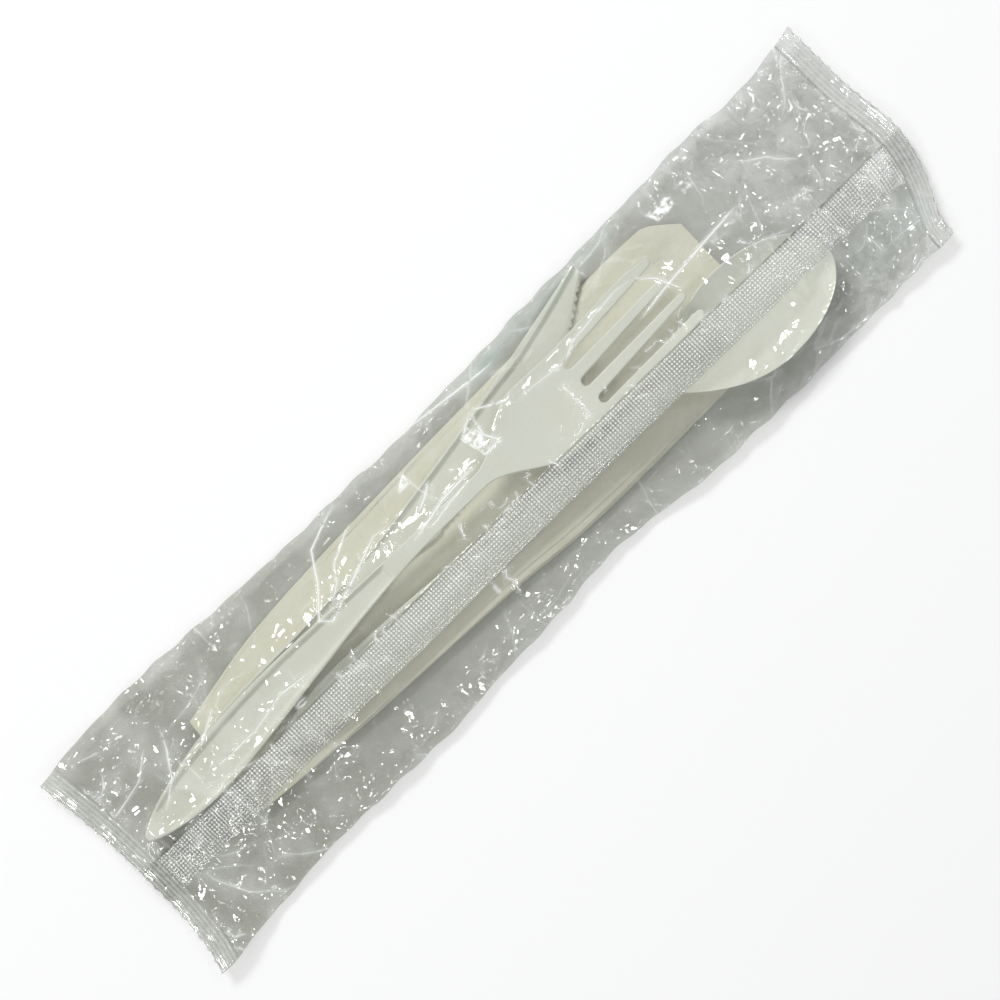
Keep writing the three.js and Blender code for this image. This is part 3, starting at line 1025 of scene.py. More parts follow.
@dataclass
class Napkin:
    """A tissue napkin: one square sheet, folded in half, then into eight panels that fan out a little."""

    name: str = "napkin_sheet"
    start: float = -87
    end: float = 70.5
    bottom: float = 0.68
    thickness: float = 1.66
    panels: int = 8
    rows: int = 90
    flat: Pair = (0.304, 0.314)
    start_slant: float = 0.098
    end_slant: float = 0.03
    wave_height: float = 0.16
    far: SmoothLine = SmoothLine((
        (-87, 15.2), (-60, 19.2), (-20, 20.6), (25, 20.9), (60, 20.6), (66, 18.6), (70.5, 14.8),
    ))
    near: SmoothLine = SmoothLine(((-87, -10.6), (-60, -13.2), (-14, -16.2), (14, -18.6), (70.5, -19)))
    shifts: tuple[float, ...] = (0.0, 0.7, 1.9, 1.2, 2.8, 2.1, 3.6, 4.4)

    def top_over(self, x: Array, y: Array) -> Array:
        """Height of the stack under each x and y, 0 where it isn't."""
        inside = (x >= self.start) & (x <= self.end) & (y >= self.near.at(x)) & (y <= self.far.at(x))
        return np.where(inside, self.bottom + self.thickness + 0.05, 0.0)

    def build(self) -> Object:
        """Makes the sheet: a zigzag across the pack, doubled along it.

        Along, the sheet runs to the far end, turns over and comes back, less than half a layer higher. Each
        panel's edges drift along the pack, more on the upper panels, and its face waves as two sines.

        Returns:
            The napkin.
        """
        pitch = self.thickness / self.panels
        share, level, bulge = self.zigzag()
        along, fold = np.linspace(0, 1, self.rows), half_turn(6)
        x = np.concatenate([mix(self.start, self.end, along), self.end + 0.05 * np.sin(fold),
                            mix(self.end, self.start, along)])[:, None]
        flat = np.ones(self.rows)
        ply = np.concatenate([-flat, -np.cos(fold), flat])[:, None]
        shift = np.interp(level, np.arange(self.panels), self.shifts)
        drift = 0.14 * shift * np.sin(x / 23.0 + 2.1 * level)
        low = self.near.at(x) + 0.5 * shift * (0.4 + 0.6 * ease(x, -60, 40)) + drift
        high = self.far.at(x) - 0.5 * shift * (0.4 + 0.6 * ease(-x, -60, 40)) - drift
        y = mix(low, high, share) + bulge * pitch / 2
        z = self.bottom + pitch / 2 + (level + 0.2 * ply) * pitch
        wave = np.sin(x / 9.0 + y / 6.0) * np.sin(x / 17.0 - y / 11.0)
        wave = self.wave_height * wave * ease(level, 0, self.panels)
        middle = (low + high) / 2
        slant = self.start_slant * ease(-x, 60, 87) + self.end_slant * ease(x, 50, 70.5)
        points = np.stack(np.broadcast_arrays(x + slant * (y - middle), y, z + wave), axis=-1)
        rows, columns = points.shape[:2]
        piece = new_piece(self.name, points.reshape(-1, 3), strip_quads(rows, columns))
        keep_map(piece, *np.meshgrid(np.linspace(0, 1, rows), np.linspace(0, 1, columns), indexing="ij"))
        return piece

    def zigzag(self) -> tuple[Array, Array, Array]:
        """The path across the stack: each panel runs from one long edge to the other and turns back in a half
        circle one layer higher.

        Returns:
            One row each: share of the way across, layer counted from the bottom, and bulge of the turns.
        """
        run, turn = np.linspace(0, 1, 15), half_turn(6)
        share, level, bulge = [], [], []
        for number in range(self.panels):
            away = number % 2 == 0
            share.append(run if away else 1 - run)
            level.append(np.full(len(run), float(number)))
            bulge.append(np.zeros(len(run)))
            if number < self.panels - 1:
                share.append(np.full(len(turn), float(away)))
                level.append(number + (1 - np.cos(turn)) / 2)
                bulge.append(np.sin(turn) * (1 if away else -1))
        return tuple(np.concatenate(part)[None, :] for part in (share, level, bulge))


# ---------------------------------------------------------------- film


def from_leg(x: Array, y: Array, start: Pair, end: Pair) -> tuple[Array, Array, float]:
    """Where places lie as seen from a straight leg.

    Args:
        x: pack x of the places.
        y: pack y of the places.
        start: the leg's start.
        end: the leg's end.

    Returns:
        How far along the leg each place is, how far to its left, and the leg's length.
    """
    length = math.hypot(end[0] - start[0], end[1] - start[1])
    ux, uy = (end[0] - start[0]) / length, (end[1] - start[1]) / length
    dx, dy = x - start[0], y - start[1]
    return dx * ux + dy * uy, dy * ux - dx * uy, length


@dataclass(frozen=True)
class Crease:
    """A sharp fold in the film along a few points: a ridge, steep on one side and easy on the other."""

    path: tuple[Pair, ...]
    height: float
    steep: float = 0.6
    easy: float = 2.2
    soft: float = 0.12

    def at(self, x: Array, y: Array) -> Array:
        """Height of the ridge: a tent over the distance from each leg, and the tallest leg counts.

        Args:
            x: pack x of the places.
            y: pack y of the places.

        Returns:
            The height at each place.
        """
        best = np.zeros(np.broadcast(x, y).shape)
        for start, end in zip(self.path, self.path[1:]):
            along, across, length = from_leg(x, y, start, end)
            past = np.maximum(np.maximum(-along, along - length), 0)
            width = np.where(across > 0, self.steep, self.easy)
            reach = np.sqrt(across**2 + past**2 + self.soft**2) / np.hypot(width, self.soft)
            best = np.maximum(best, 1 - reach)
        return self.height * np.clip(best, 0, None)


@dataclass(frozen=True)
class Crumple:
    """Many short straight creases at random places, from a fixed seed."""

    seed: int
    count: int
    length: Pair
    width: Pair
    slope: Pair
    x_range: Pair = (-116, 116)
    y_range: Pair = (-31, 31)

    def at(self, x: Array, y: Array) -> Array:
        """Sum of tents: each falls straight from its crest on both sides and fades to its two ends.

        Args:
            x: pack x of the places.
            y: pack y of the places.

        Returns:
            The height at each place.
        """
        draw = np.random.default_rng(self.seed)
        total = np.zeros(x.shape, dtype=np.float32)
        x, y = x.astype(np.float32), y.astype(np.float32)
        for _ in range(self.count):
            cx, cy = draw.uniform(*self.x_range), draw.uniform(*self.y_range)
            turn = draw.uniform(0, math.pi)
            length, steep = draw.uniform(*self.length), draw.uniform(*self.width)
            easy = steep * draw.uniform(1.5, 4)
            height = steep * draw.uniform(*self.slope) * draw.choice([-1, 1])
            near = (np.abs(x - cx) < length + easy) & (np.abs(y - cy) < length + easy)
            px, py = x[near] - cx, y[near] - cy
            along = (px * math.cos(turn) + py * math.sin(turn)) / length
            across = py * math.cos(turn) - px * math.sin(turn)
            width = np.where(across > 0, steep, easy)
            tent = np.clip(1 - np.sqrt(across**2 + 0.02) / width, 0, None)
            total[near] += height * tent * np.clip(1 - along**2, 0, None)
        return total


@dataclass(frozen=True)
class SharpLine:
    """A crease too thin for the mesh, through a few points, kept as a distance that the finish reads."""

    path: tuple[Pair, ...]
    depth: float
    reach: float = 1.5

    def onto(self, x: Array, y: Array, distance: Array, depth: Array) -> None:
        """Writes this line into the places that lie nearer to it than to any line before.

        The distance is positive to the left of the line. The depth fades to both ends as 1 less the fourth
        power of the way from the middle.

        Args:
            x: pack x of the places.
            y: pack y of the places.
            distance: distance to the nearest line so far, changed in place.
            depth: depth of the nearest line so far, changed in place.
        """
        run, reach = np.array(self.path), self.reach
        whole, before = np.hypot(*np.diff(run, axis=0).T).sum(), 0.0
        for start, end in zip(run, run[1:]):
            low_x, low_y = np.minimum(start, end) - reach
            high_x, high_y = np.maximum(start, end) + reach
            near = np.nonzero((x > low_x) & (x < high_x) & (y > low_y) & (y < high_y))
            past, across, step = from_leg(x[near], y[near], start, end)
            along = np.clip(past, 0, step)
            away = np.hypot(past - along, across)
            closer = away < np.abs(distance[near])
            place = tuple(index[closer] for index in near)
            share = (before + along[closer]) / whole
            distance[place] = np.where(across[closer] < 0, -1, 1) * away[closer]
            depth[place] = self.depth * (1 - (2 * share - 1) ** 4) * (1 - ease(away[closer], 0.7, 1.3))
            before += step


def wandering_lines(seed: int, count: int, length: Pair, depth: Pair, x_range: Pair = (-114, 114),
                    y_range: Pair = (-28, 28)) -> list[SharpLine]:
    """Curved creases at random places: six short steps, each turned a little from the one before.

    Args:
        seed: seed of the places.
        count: how many there are.
        length: shortest and longest.
        depth: least and greatest depth.
        x_range: where they start along the pack.
        y_range: where they start across the pack.

    Returns:
        The creases.
    """
    draw = np.random.default_rng(seed)
    made = []
    for _ in range(count):
        start = np.array([draw.uniform(*x_range), draw.uniform(*y_range)])
        heading = draw.uniform(0, 2 * math.pi)
        headings = heading + np.cumsum(draw.normal(draw.normal(0, 0.12), 0.18, 6))
        step = draw.uniform(*length) / 6
        run = start + np.cumsum(step * np.stack([np.cos(headings), np.sin(headings)], axis=1), axis=0)
        path = tuple((float(x), float(y)) for x, y in np.vstack([start, run]))
        made.append(SharpLine(path, draw.uniform(*depth)))
    return made


@dataclass(frozen=True)
class Patch:
    """A flat spot of the film with straight sides, each side seen with the spot on its left."""

    corners: tuple[Pair, ...]
    strength: float
    soft: float = 0.5

    def at(self, x: Array, y: Array) -> Array:
        """The strength inside, fading over the soft width at the nearest side, 0 outside.

        Args:
            x: pack x of the places.
            y: pack y of the places.

        Returns:
            The strength at each place.
        """
        least = np.full(x.shape, NO_EDGE)
        for start, end in zip(self.corners, self.corners[1:] + self.corners[:1]):
            least = np.minimum(least, from_leg(x, y, start, end)[1])
        return self.strength * ease(least, 0, self.soft)


def crests(x: Array, y: Array, wavelength: float, seed: int) -> Array:
    """Curved creases: 1 less the size of a sum of seven sines in random directions.

    Args:
        x: pack x of the places.
        y: pack y of the places.
        wavelength: about how far apart the creases lie.
        seed: seed of the directions.

    Returns:
        A height from about -1 to 1, sharp along its crests.
    """
    draw = np.random.default_rng(seed)
    total = np.zeros(np.broadcast(x, y).shape)
    for _ in range(7):
        turn, phase = draw.uniform(0, 2 * math.pi, 2)
        pitch = 2 * math.pi / (wavelength * draw.uniform(0.7, 1.6))
        total += np.sin(pitch * (x * math.cos(turn) + y * math.sin(turn)) + phase)
    return 1 - np.abs(total) / 1.6


@dataclass
class FilmSleeve:
    """The flow-wrapped sleeve: one sheet round the contents, its long edges sealed into a flat fin."""

    contents: list[Utensil | Napkin]
    name: str = "film_sheet"
    half_length: float = 119.25
    crimp: float = 5
    tooth_pitch: float = 3
    tooth_depth: float = 1.4
    fin_width: float = 8.8
    clearance: float = 0.3
    rim_height: float = 1.8
    end_lift: float = 1.0
    puff: float = 0.003
    settle_steps: int = 900
    stations: int = 460
    under_columns: int = 60
    fin_columns: int = 13
    fold_round: float = 0.28
    edge_share: float = 0.07
    crimp_press: float = 0.55
    seal_line: float = 113.5
    curl_depth: Pair = (0.06, 0.22)
    fin_layers: Pair = (0.5, 0.26)
    least_gap: float = 0.12
    flat: Pair = (0.14, 0.2385)
    far: SmoothLine = SmoothLine((
        (-119.3, 28.6), (-112, 29.4), (-94, 30.3), (-79.3, 29.5), (-67.4, 28.7), (-48.1, 27.3),
        (-27.4, 26.7), (-8.1, 25.9), (17, 26.3), (39.3, 26.6), (61.5, 26.6), (83.7, 27), (100, 25.9),
        (113.3, 27), (119.3, 28.1),
    ))
    near: SmoothLine = SmoothLine((
        (-119.3, -29.1), (-116, -29.3), (-101.5, -27.9), (-79.3, -26.8), (-48.1, -27.9), (-27.4, -27.1),
        (-5.2, -26.4), (6.7, -25.4), (17, -26.4), (31.9, -28.6), (46.7, -29.6), (68.9, -30.1), (100, -30.1),
        (119.3, -30.1),
    ))
    fin_root: SmoothLine = SmoothLine((
        (-119.3, -0.9), (-80, -1.3), (-10, -2.1), (50, -3.6), (90, -4.7), (119.3, -5.2),
    ))
    right_end: SmoothLine = SmoothLine((
        (-30.5, 112.5), (-25, 113.5), (-15, 118.3), (-4, 120.6), (10, 119.6), (28.5, 119.3),
    ))
    left_end: SmoothLine = SmoothLine((
        (-30, 121), (-22, 118.9), (-8, 117.6), (6, 117.7), (20, 118.6), (29, 119.5),
    ))
    # Painted shade: how far the film's tint darkens along the pack, most at the left end.
    painted_shade_along: SmoothLine = SmoothLine((
        (-119, 0.8), (-80, 0.75), (-20, 0.45), (50, 0.35), (85, 0.05), (119, 0),
    ))
    short_creases: Crumple = Crumple(21, 420, length=(3, 11), width=(0.5, 1.4), slope=(0.08, 0.4))
    long_creases: Crumple = Crumple(22, 150, length=(8, 26), width=(1.2, 3.2), slope=(0.06, 0.24))
    under_creases: Crumple = Crumple(31, 300, length=(3, 12), width=(0.7, 1.8), slope=(0.1, 0.4))
    creases: tuple[Crease, ...] = (
        Crease(((48, 5.9), (58, 7.2), (82.5, 8.6)), 0.3, 0.75, 3.0),
        Crease(((-21.3, 7.4), (-10.3, 9.5), (0.2, 9.7)), 0.22, 0.55, 1.6),
        Crease(((-35.9, 11.6), (-27, 14.7), (-21.6, 13.9)), 0.22, 0.55, 1.8),
        Crease(((-48.6, 10.2), (-43.3, 15.9), (-39, 22.5), (-35.1, 24), (-27.4, 26.6)), 0.25, 0.6, 2.4),
        Crease(((8.2, 18.9), (2.1, 15.8), (3.4, 9.7)), 0.3, 0.7, 2.0),
        Crease(((17, 13.3), (30.4, 11.4), (34.4, 13.3), (49, 14.5), (53.8, 13.5)), 0.2, 0.55, 2.4),
    )
    # Sharp creases; their depth also sets the painted highlight along each line.
    lines: tuple[SharpLine, ...] = (
        SharpLine(((-27.4, 26.6), (-35.1, 24), (-39, 22.5), (-43.3, 15.9), (-48.6, 10.2), (-46.5, 8),
                   (-35.9, 11.6), (-27, 14.7), (-21.6, 13.9)), 0.26),
        SharpLine(((-46, 9.2), (-39.7, 13.5), (-37.5, 16.7), (-35, 17.8), (-31, 19.8), (-28, 20.8)), 0.2),
        SharpLine(((8.2, 18.9), (2.1, 15.8), (3.4, 9.7), (8, 9.9), (6.3, 13), (7, 16.4), (8.2, 18.9)), 0.28),
        SharpLine(((8.1, 19), (12, 16.6), (16.4, 14.1)), 0.2),
        SharpLine(((-16.4, 17.3), (-12.6, 19.8), (-13, 17.7), (-16.4, 17.3)), 0.28),
        SharpLine(((-12.7, 19.9), (-12.3, 14.2), (-11.6, 9.6)), 0.12),
        SharpLine(((-16.2, 11.2), (-13, 12.6), (-9.5, 14.7)), 0.28),
        SharpLine(((-21.3, 7.4), (-10.3, 9.5), (0.2, 9.7)), 0.28),
        SharpLine(((-17, 6.9), (-10, 7.9), (-2.7, 8.6)), 0.2),
        SharpLine(((-12.8, -11), (-11.6, -11.4), (-12.8, -12.6), (-12, -14.3), (-13.2, -17.7)), 0.26),
        SharpLine(((48, 5.9), (58, 7.2), (70, 8), (82.5, 8.6)), 0.34),
        SharpLine(((17, 13.3), (30.4, 11.4), (34.4, 13.3), (49, 14.5), (53.8, 13.5)), 0.16),
        SharpLine(((-8.5, 27), (0, 25.6), (14, 23.6), (20, 23)), 0.2),
        SharpLine(((-103, 4.7), (-96.4, 9.2), (-92.9, 14.5), (-90.5, 19.6)), 0.2),
        SharpLine(((-87.4, 9.2), (-83, 11.4), (-78.8, 13.9)), 0.2),
        SharpLine(((-88, 3.6), (-75.6, 3.3), (-66, 5), (-55.3, 3.4)), 0.16),
        SharpLine(((26.2, 8.8), (26.1, 4), (26, -1.6)), 0.24),
        SharpLine(((54, 13.6), (57.4, 10), (60, 4)), 0.24),
    )
    # Painted highlights: places where the top layer gets white haze that stands in for glints.
    painted_glint_patches: tuple[Patch, ...] = (
        Patch(((2.1, 15.8), (3.4, 9.7), (8, 9.9), (6.6, 14), (8.2, 18.9)), 0.6, 0.7),
        Patch(((-16.4, 17.3), (-13, 17.7), (-12.6, 19.8)), 0.6, 0.4),
        Patch(((70, 5), (83.5, 5.4), (83.5, 8.8), (70, 8)), 0.22, 1.4),
        Patch(((-16.9, -14.4), (-15.4, -14.4), (-15.4, -10.8), (-16.9, -10.8)), 0.4, 0.6),
        Patch(((67, 18.2), (72.6, 18), (74, 21.6), (66, 21.8)), 0.7, 0.8),
        Patch(((75.8, 18.2), (79, 18.6), (78.4, 21.8), (75.6, 21.6)), 0.6, 0.8),
        Patch(((107.5, -14.6), (113.2, -14.6), (113.2, -6), (107.5, -6)), 0.3, 0.8),
    )
    cool: tuple[Patch, ...] = (
        Patch(((10, 21.6), (60, 21.6), (60, 27), (10, 27)), 0.35, 2.2),
        Patch(((14, 21.6), (23, 21.6), (23, 25.6), (14, 25.6)), 0.6, 1.2),
        Patch(((88, -27), (114, -27), (114, -14), (88, -14)), 0.3, 5),
    )

    def side_share(self, x: Array, y: Array) -> Array:
        """0 on the sleeve's middle line and 1 at its two sides."""
        far, near = self.far.at(x), self.near.at(x)
        return np.abs(y - (far + near) / 2) / ((far - near) / 2)

    def contents_top(self, x: Array, y: Array) -> Array:
        """Height of the highest piece under each place, 0 where there is none."""
        return np.maximum.reduce([item.top_over(x, y) for item in self.contents])

    def in_crimp(self, x: Array, run: float) -> Array:
        """0 before the crimps and 1 in them, rising over the given run in front of them."""
        start = self.half_length - self.crimp
        return ease(np.abs(x), start - run, start)

    def stretched(self) -> tuple[Array, Array, Array]:
        """Height of the film stretched over the contents, on an even grid.

        Each free point goes to the mean of its four neighbours plus a little puff, never under the contents,
        over and over, as a stretched skin does. Points outside the sleeve stay on the rim.

        Returns:
            The grid's x places, y places and heights.
        """
        gx, gy = np.arange(-123, 123.1, 0.75), np.arange(-33, 33.1, 0.75)
        x, y = np.meshgrid(gx, gy, indexing="ij")
        floor = self.contents_top(x, y) + self.clearance
        floor = np.where(floor > self.clearance + 0.01, floor, 0.6)
        inside = np.abs(x) < self.half_length - self.crimp
        inside &= (y < self.far.at(x) - 0.4) & (y > self.near.at(x) + 0.4)
        rim = self.rim(x, y) + 0.35
        z = np.where(inside, np.maximum(floor, rim), rim)
        for _ in range(self.settle_steps):
            mean = z.copy()
            mean[1:-1, 1:-1] = (z[2:, 1:-1] + z[:-2, 1:-1] + z[1:-1, 2:] + z[1:-1, :-2]) / 4 + self.puff
            z = np.where(inside, np.maximum(mean, floor), rim)
        return gx, gy, z

    def rim(self, x: Array, y: Array) -> Array:
        """Height of the sleeve's sides and crimps above the ground, which wave a little; 0 further in.

        Args:
            x: pack x of the places.
            y: pack y of the places.

        Returns:
            The height at each place.
        """
        share = np.maximum(ease(self.side_share(x, y), 0.76, 1.0), ease(np.abs(x), 103, 117))
        at_end = ease(np.abs(x), 100, 117)
        wave = 0.5 * np.sin(x / 5.3 + 1) * np.sin(x / 13.0) + 0.35 * np.sin(y / 4.4 + 2) * at_end
        return 0.1 + share * (self.rim_height + self.end_lift * at_end + wave)

    @staticmethod
    def read(gx: Array, gy: Array, z: Array, x: Array, y: Array) -> Array:
        """Reads the grid between its points, by straight lines both ways.

        Args:
            gx: the grid's x places.
            gy: the grid's y places.
            z: heights on the grid.
            x: pack x to read at.
            y: pack y to read at.

        Returns:
            The height at each place.
        """
        fx = np.clip((x - gx[0]) / (gx[1] - gx[0]), 0, len(gx) - 1.001)
        fy = np.clip((y - gy[0]) / (gy[1] - gy[0]), 0, len(gy) - 1.001)
        i, j = fx.astype(int), fy.astype(int)
        low = mix(z[i, j], z[i + 1, j], fx - i)
        high = mix(z[i, j + 1], z[i + 1, j + 1], fx - i)
        return mix(low, high, fy - j)

    def restless(self, x: Array, y: Array) -> Array:
        """How crumpled the film is: most at both ends, some at the sides, least over the contents' middle."""
        ends = np.maximum(ease(-x, 48, 92), ease(x, 66, 96))
        return np.clip(0.1 + 0.9 * ends + 0.35 * ease(self.side_share(x, y), 0.55, 0.85), 0, 1)

    def upper_crumple(self, x: Array, y: Array) -> Array:
        """Creases of the top layer: curved crests in two sizes and many short straight ones, by restless.

        Args:
            x: pack x of the places.
            y: pack y of the places.

        Returns:
            The height at each place.
        """
        made = 0.2 * crests(x, y, 13, 5) + 0.06 * crests(x, y, 5.5, 6)
        made = self.restless(x, y) * (made + self.short_creases.at(x, y) + self.long_creases.at(x, y))
        for crease in self.creases:
            made = made + crease.at(x, y)
        return made * (1 - self.in_crimp(x, 2))

    def lower_crumple(self, x: Array, y: Array) -> Array:
        """Creases of the underside, which only has room to crumple beside the contents.

        Args:
            x: pack x of the places.
            y: pack y of the places.

        Returns:
            The height at each place.
        """
        steps = ((0, 0), (-2.5, 0), (2.5, 0), (0, -2.5), (0, 2.5))
        covered = np.maximum.reduce([self.contents_top(x + dx, y + dy) for dx, dy in steps]) > 0.1
        made = 0.3 * crests(x, y, 11, 15) + 0.1 * crests(x, y, 5, 16)
        made = made + self.under_creases.at(x, y)
        return np.abs(made) * ~covered * (1 - self.in_crimp(x, 2)) * 0.8

    def section(self, y_near: Array, y_far: Array, root: Array) -> tuple[Array, Array, Array]:
        """The sheet's path across one station, from one free edge of the fin round to the other.

        Args:
            y_near: y of the near side at each station.
            y_far: y of the far side at each station.
            root: y of the fin's root at each station.

        Returns:
            y of each column at each station, then for each column which run of the sheet it is in, and how
            far it has turned under: 0 on top, 1 on the underside.
        """
        tip = root - self.fin_width
        fin, edge = np.linspace(0, 1, self.fin_columns), self.edge_share
        far_run = np.concatenate([np.linspace(0, 1 - edge, 68)[1:], 1 - edge + edge * quarter(9)])
        near_end = edge * (1 - np.cos(np.linspace(0, np.pi / 2, 8)))
        near_run = np.concatenate([near_end, np.linspace(edge, 1, 38)[1:]])
        count = self.under_columns
        under = gathered(count) * 0.35 + np.linspace(0, 1, count) * 0.65
        bend = half_turn(6)
        bulge, turned = self.fold_round * np.sin(bend), (1 - np.cos(bend)) / 2
        parts = (
            (Run.FIN_UPPER, mix(tip, root, fin), 0 * fin),
            (Run.TOP, mix(root, y_far, far_run), 0 * far_run),
            (Run.FOLD, y_far + bulge, turned),
            (Run.UNDER, mix(y_far, y_near, under), np.ones(count)),
            (Run.FOLD, y_near - bulge, 1 - turned),
            (Run.TOP, mix(y_near, root, near_run), 0 * near_run),
            (Run.FIN_LOWER, mix(root, tip, fin), 0 * fin),
        )
        kinds = np.concatenate([np.full(len(turn), run.value) for run, _, turn in parts])
        turns = np.concatenate([turn for _, _, turn in parts])
        return np.concatenate([y for _, y, _ in parts], axis=1), kinds, turns

    def build(self) -> Object:
        """Makes the one sheet from its path across the pack, carried along the pack.

        Returns:
            The film.
        """
        station = np.linspace(-self.half_length, self.half_length, self.stations)[:, None]
        ripple = 0.22 * np.sin(station / 2.7) * np.sin(station / 7.1 + 1) + 0.15 * np.sin(station / 1.6 + 2)
        y_far, y_near = self.far.at(station) + ripple, self.near.at(station) + np.roll(ripple, 37, axis=0)
        root = self.fin_root.at(station)
        y, kind, turn = self.section(y_near, y_far, root)
        x = np.broadcast_to(station, y.shape)
        placed = self.end_shape(x, y)
        in_crimp = self.in_crimp(x, 0.8)
        layers = {Run.FIN_UPPER.value: self.fin_layers[0], Run.FIN_LOWER.value: self.fin_layers[1]}
        layer = np.array([layers.get(run, 0.0) for run in kind])
        z = self.heights(x, placed, y, turn, in_crimp)
        flap = 0.25 * (1 + np.sin(x / 6.1) * np.sin(x / 15.0 + y / 3.0)) * ease(root - y, 1, self.fin_width)
        pressed_down = mix(ease(root - y, -0.5, 0.6), 1, in_crimp) * mix(1, self.crimp_press, in_crimp)
        z = z + (layer + flap * (layer > 0)) * pressed_down
        x = self.cut_ends(placed, station, y)
        rows, columns = y.shape
        points = np.stack([x, y, z], axis=-1).reshape(-1, 3)
        piece = new_piece(self.name, points, strip_quads(rows, columns)[:, ::-1])
        steps = np.hypot(np.diff(y, axis=1), np.diff(z, axis=1))
        across = np.concatenate([np.zeros((rows, 1)), np.cumsum(steps, axis=1)], axis=1)
        keep_map(piece, np.broadcast_to(station, y.shape) * MM, across * MM)
        in_fin = (layer > 0) * ease(root - y, 0.2, 0.6)
        on_top = kind == Run.TOP.value
        distance, depth = self.line_map(x, y, turn)
        # Comb rows on the fin near the right end, whose white haze paints glint dashes there.
        comb_and_glint_dashes = in_fin * ease(x, 107, 108) * ease(-x, -114, -113)
        pressed = np.maximum(in_fin, in_crimp)
        numbers = {
            "seal": in_fin * mix(1, 0.55, ease(root - y, 3, self.fin_width)) * (1 - in_crimp),
            "comb": np.maximum(in_crimp, comb_and_glint_dashes),
            "crumple": mix(0.12, 0.95, self.restless(x, y)) * (1 - 0.8 * pressed),
            # Painted shade: a darker tint, strongest towards the left end.
            "painted_shade": self.painted_shade_along.at(x),
            # The crimps' own slight milkiness, plus painted highlights in the glint patches.
            "crimp_milk_and_painted_glints": 0.06 * in_crimp + on_top * sum(patch.at(x, y) for patch in self.painted_glint_patches),
            "cool": on_top * np.clip(sum(patch.at(x, y) for patch in self.cool), 0, 1),
            "line_distance": distance,
            "line_depth": depth * (1 - in_crimp) * (1 - 0.6 * in_fin),
        }
        for name, values in numbers.items():
            keep_number(piece, name, values)
        return piece

    def heights(self, x: Array, placed: Array, y: Array, turn: Array, in_crimp: Array) -> Array:
        """Height of each point: the stretched top and the waving underside, blended where the sheet turns.

        Args:
            x: station of each point.
            placed: x of each point.
            y: y of each point.
            turn: 0 on the top layer and 1 on the underside.
            in_crimp: 1 in the crimps.

        Returns:
            The height of each point, without the fin's own layers.
        """
        rim = self.rim(x, y)
        upper = self.read(*self.stretched(), placed, y) + self.upper_crumple(x, y)
        upper = np.maximum(upper, self.contents_top(placed, y) + self.least_gap)
        upper = mix(np.maximum(upper, rim + 0.3), rim + 0.35, in_crimp)
        lower = np.minimum(rim + self.lower_crumple(x, y), np.maximum(upper - 0.3, 0.06))
        return mix(upper, np.maximum(mix(lower, rim, in_crimp), 0.03), turn)

    def line_map(self, x: Array, y: Array, turn: Array) -> tuple[Array, Array]:
        """Distance to the nearest sharp crease and its depth: random ones, curls at the seals, drawn ones.

        Args:
            x: pack x of the points.
            y: pack y of the points.
            turn: 0 on the top layer and 1 on the underside.

        Returns:
            The distance and the depth at each point.
        """
        distance, depth = np.full(x.shape, SharpLine.reach), np.zeros(x.shape)
        for line in wandering_lines(41, 170, length=(4, 26), depth=(0.02, 0.17)):
            line.onto(x, y, distance, depth)
        depth = depth * self.restless(x, y)
        curls = wandering_lines(43, 90, length=(1.5, 4.5), depth=self.curl_depth, y_range=(-5.5, 1.5))
        for side in (-1, 1):
            near_seal = (side * self.seal_line - 1, side * self.seal_line + 1)
            curls += wandering_lines(44 + side, 44, length=(1, 3.5), depth=self.curl_depth, x_range=near_seal)
        for line in (*curls, *self.lines):
            line.onto(x, y, distance, depth)
        return distance, depth * (1 - 0.75 * turn)

    def end_shape(self, x: Array, y: Array) -> Array:
        """Moves the end stations, because the ends bulge and pull in.

        Args:
            x: station of each point.
            y: y of each point.

        Returns:
            The new x.
        """
        reach = np.where(x > 0, self.right_end.at(y), self.left_end.at(y)) - self.half_length
        return x + np.sign(x) * reach * ease(np.abs(x), 84, self.half_length)

    def cut_ends(self, x: Array, station: Array, y: Array) -> Array:
        """Cuts the last row at both ends in an uneven zigzag: a triangle wave of y.

        Args:
            x: x of each point.
            station: station of each row.
            y: y of each point.

        Returns:
            The new x.
        """
        wave = np.abs(2 * np.mod(y / self.tooth_pitch + 0.3, 1) - 1)
        depth = self.tooth_depth * (0.7 + 0.3 * np.sin(y / 3.7) * np.sin(y / 8.3 + 1))
        last = np.abs(station) > self.half_length - 0.01
        return x - np.sign(station) * depth * wave * last


# ---------------------------------------------------------------- studio


@dataclass(frozen=True)
class Softbox:
    """A rectangular studio light that faces the pack, placed by its turn about Z and its lean off Z."""

    name: str
    azimuth: float
    lean: float
    size: Pair
    radiance: float
    glints: bool = True
    distance: float = 1.6

    def hang(self) -> None:
        """Adds the light to the scene."""
        data = bpy.data.lights.new(self.name, "AREA")
        data.shape = "RECTANGLE"
        data.size, data.size_y = self.size
        data.energy = self.radiance * self.size[0] * self.size[1] * 4
        lamp = bpy.data.objects.new(self.name, data)
        a, lean = math.radians(self.azimuth), math.radians(self.lean)
        lamp.location = (
            self.distance * math.sin(lean) * math.cos(a),
            self.distance * math.sin(lean) * math.sin(a),
            self.distance * math.cos(lean),
        )
        lamp.rotation_euler = (0, lean, a)
        lamp.visible_glossy = self.glints
        bpy.context.scene.collection.objects.link(lamp)


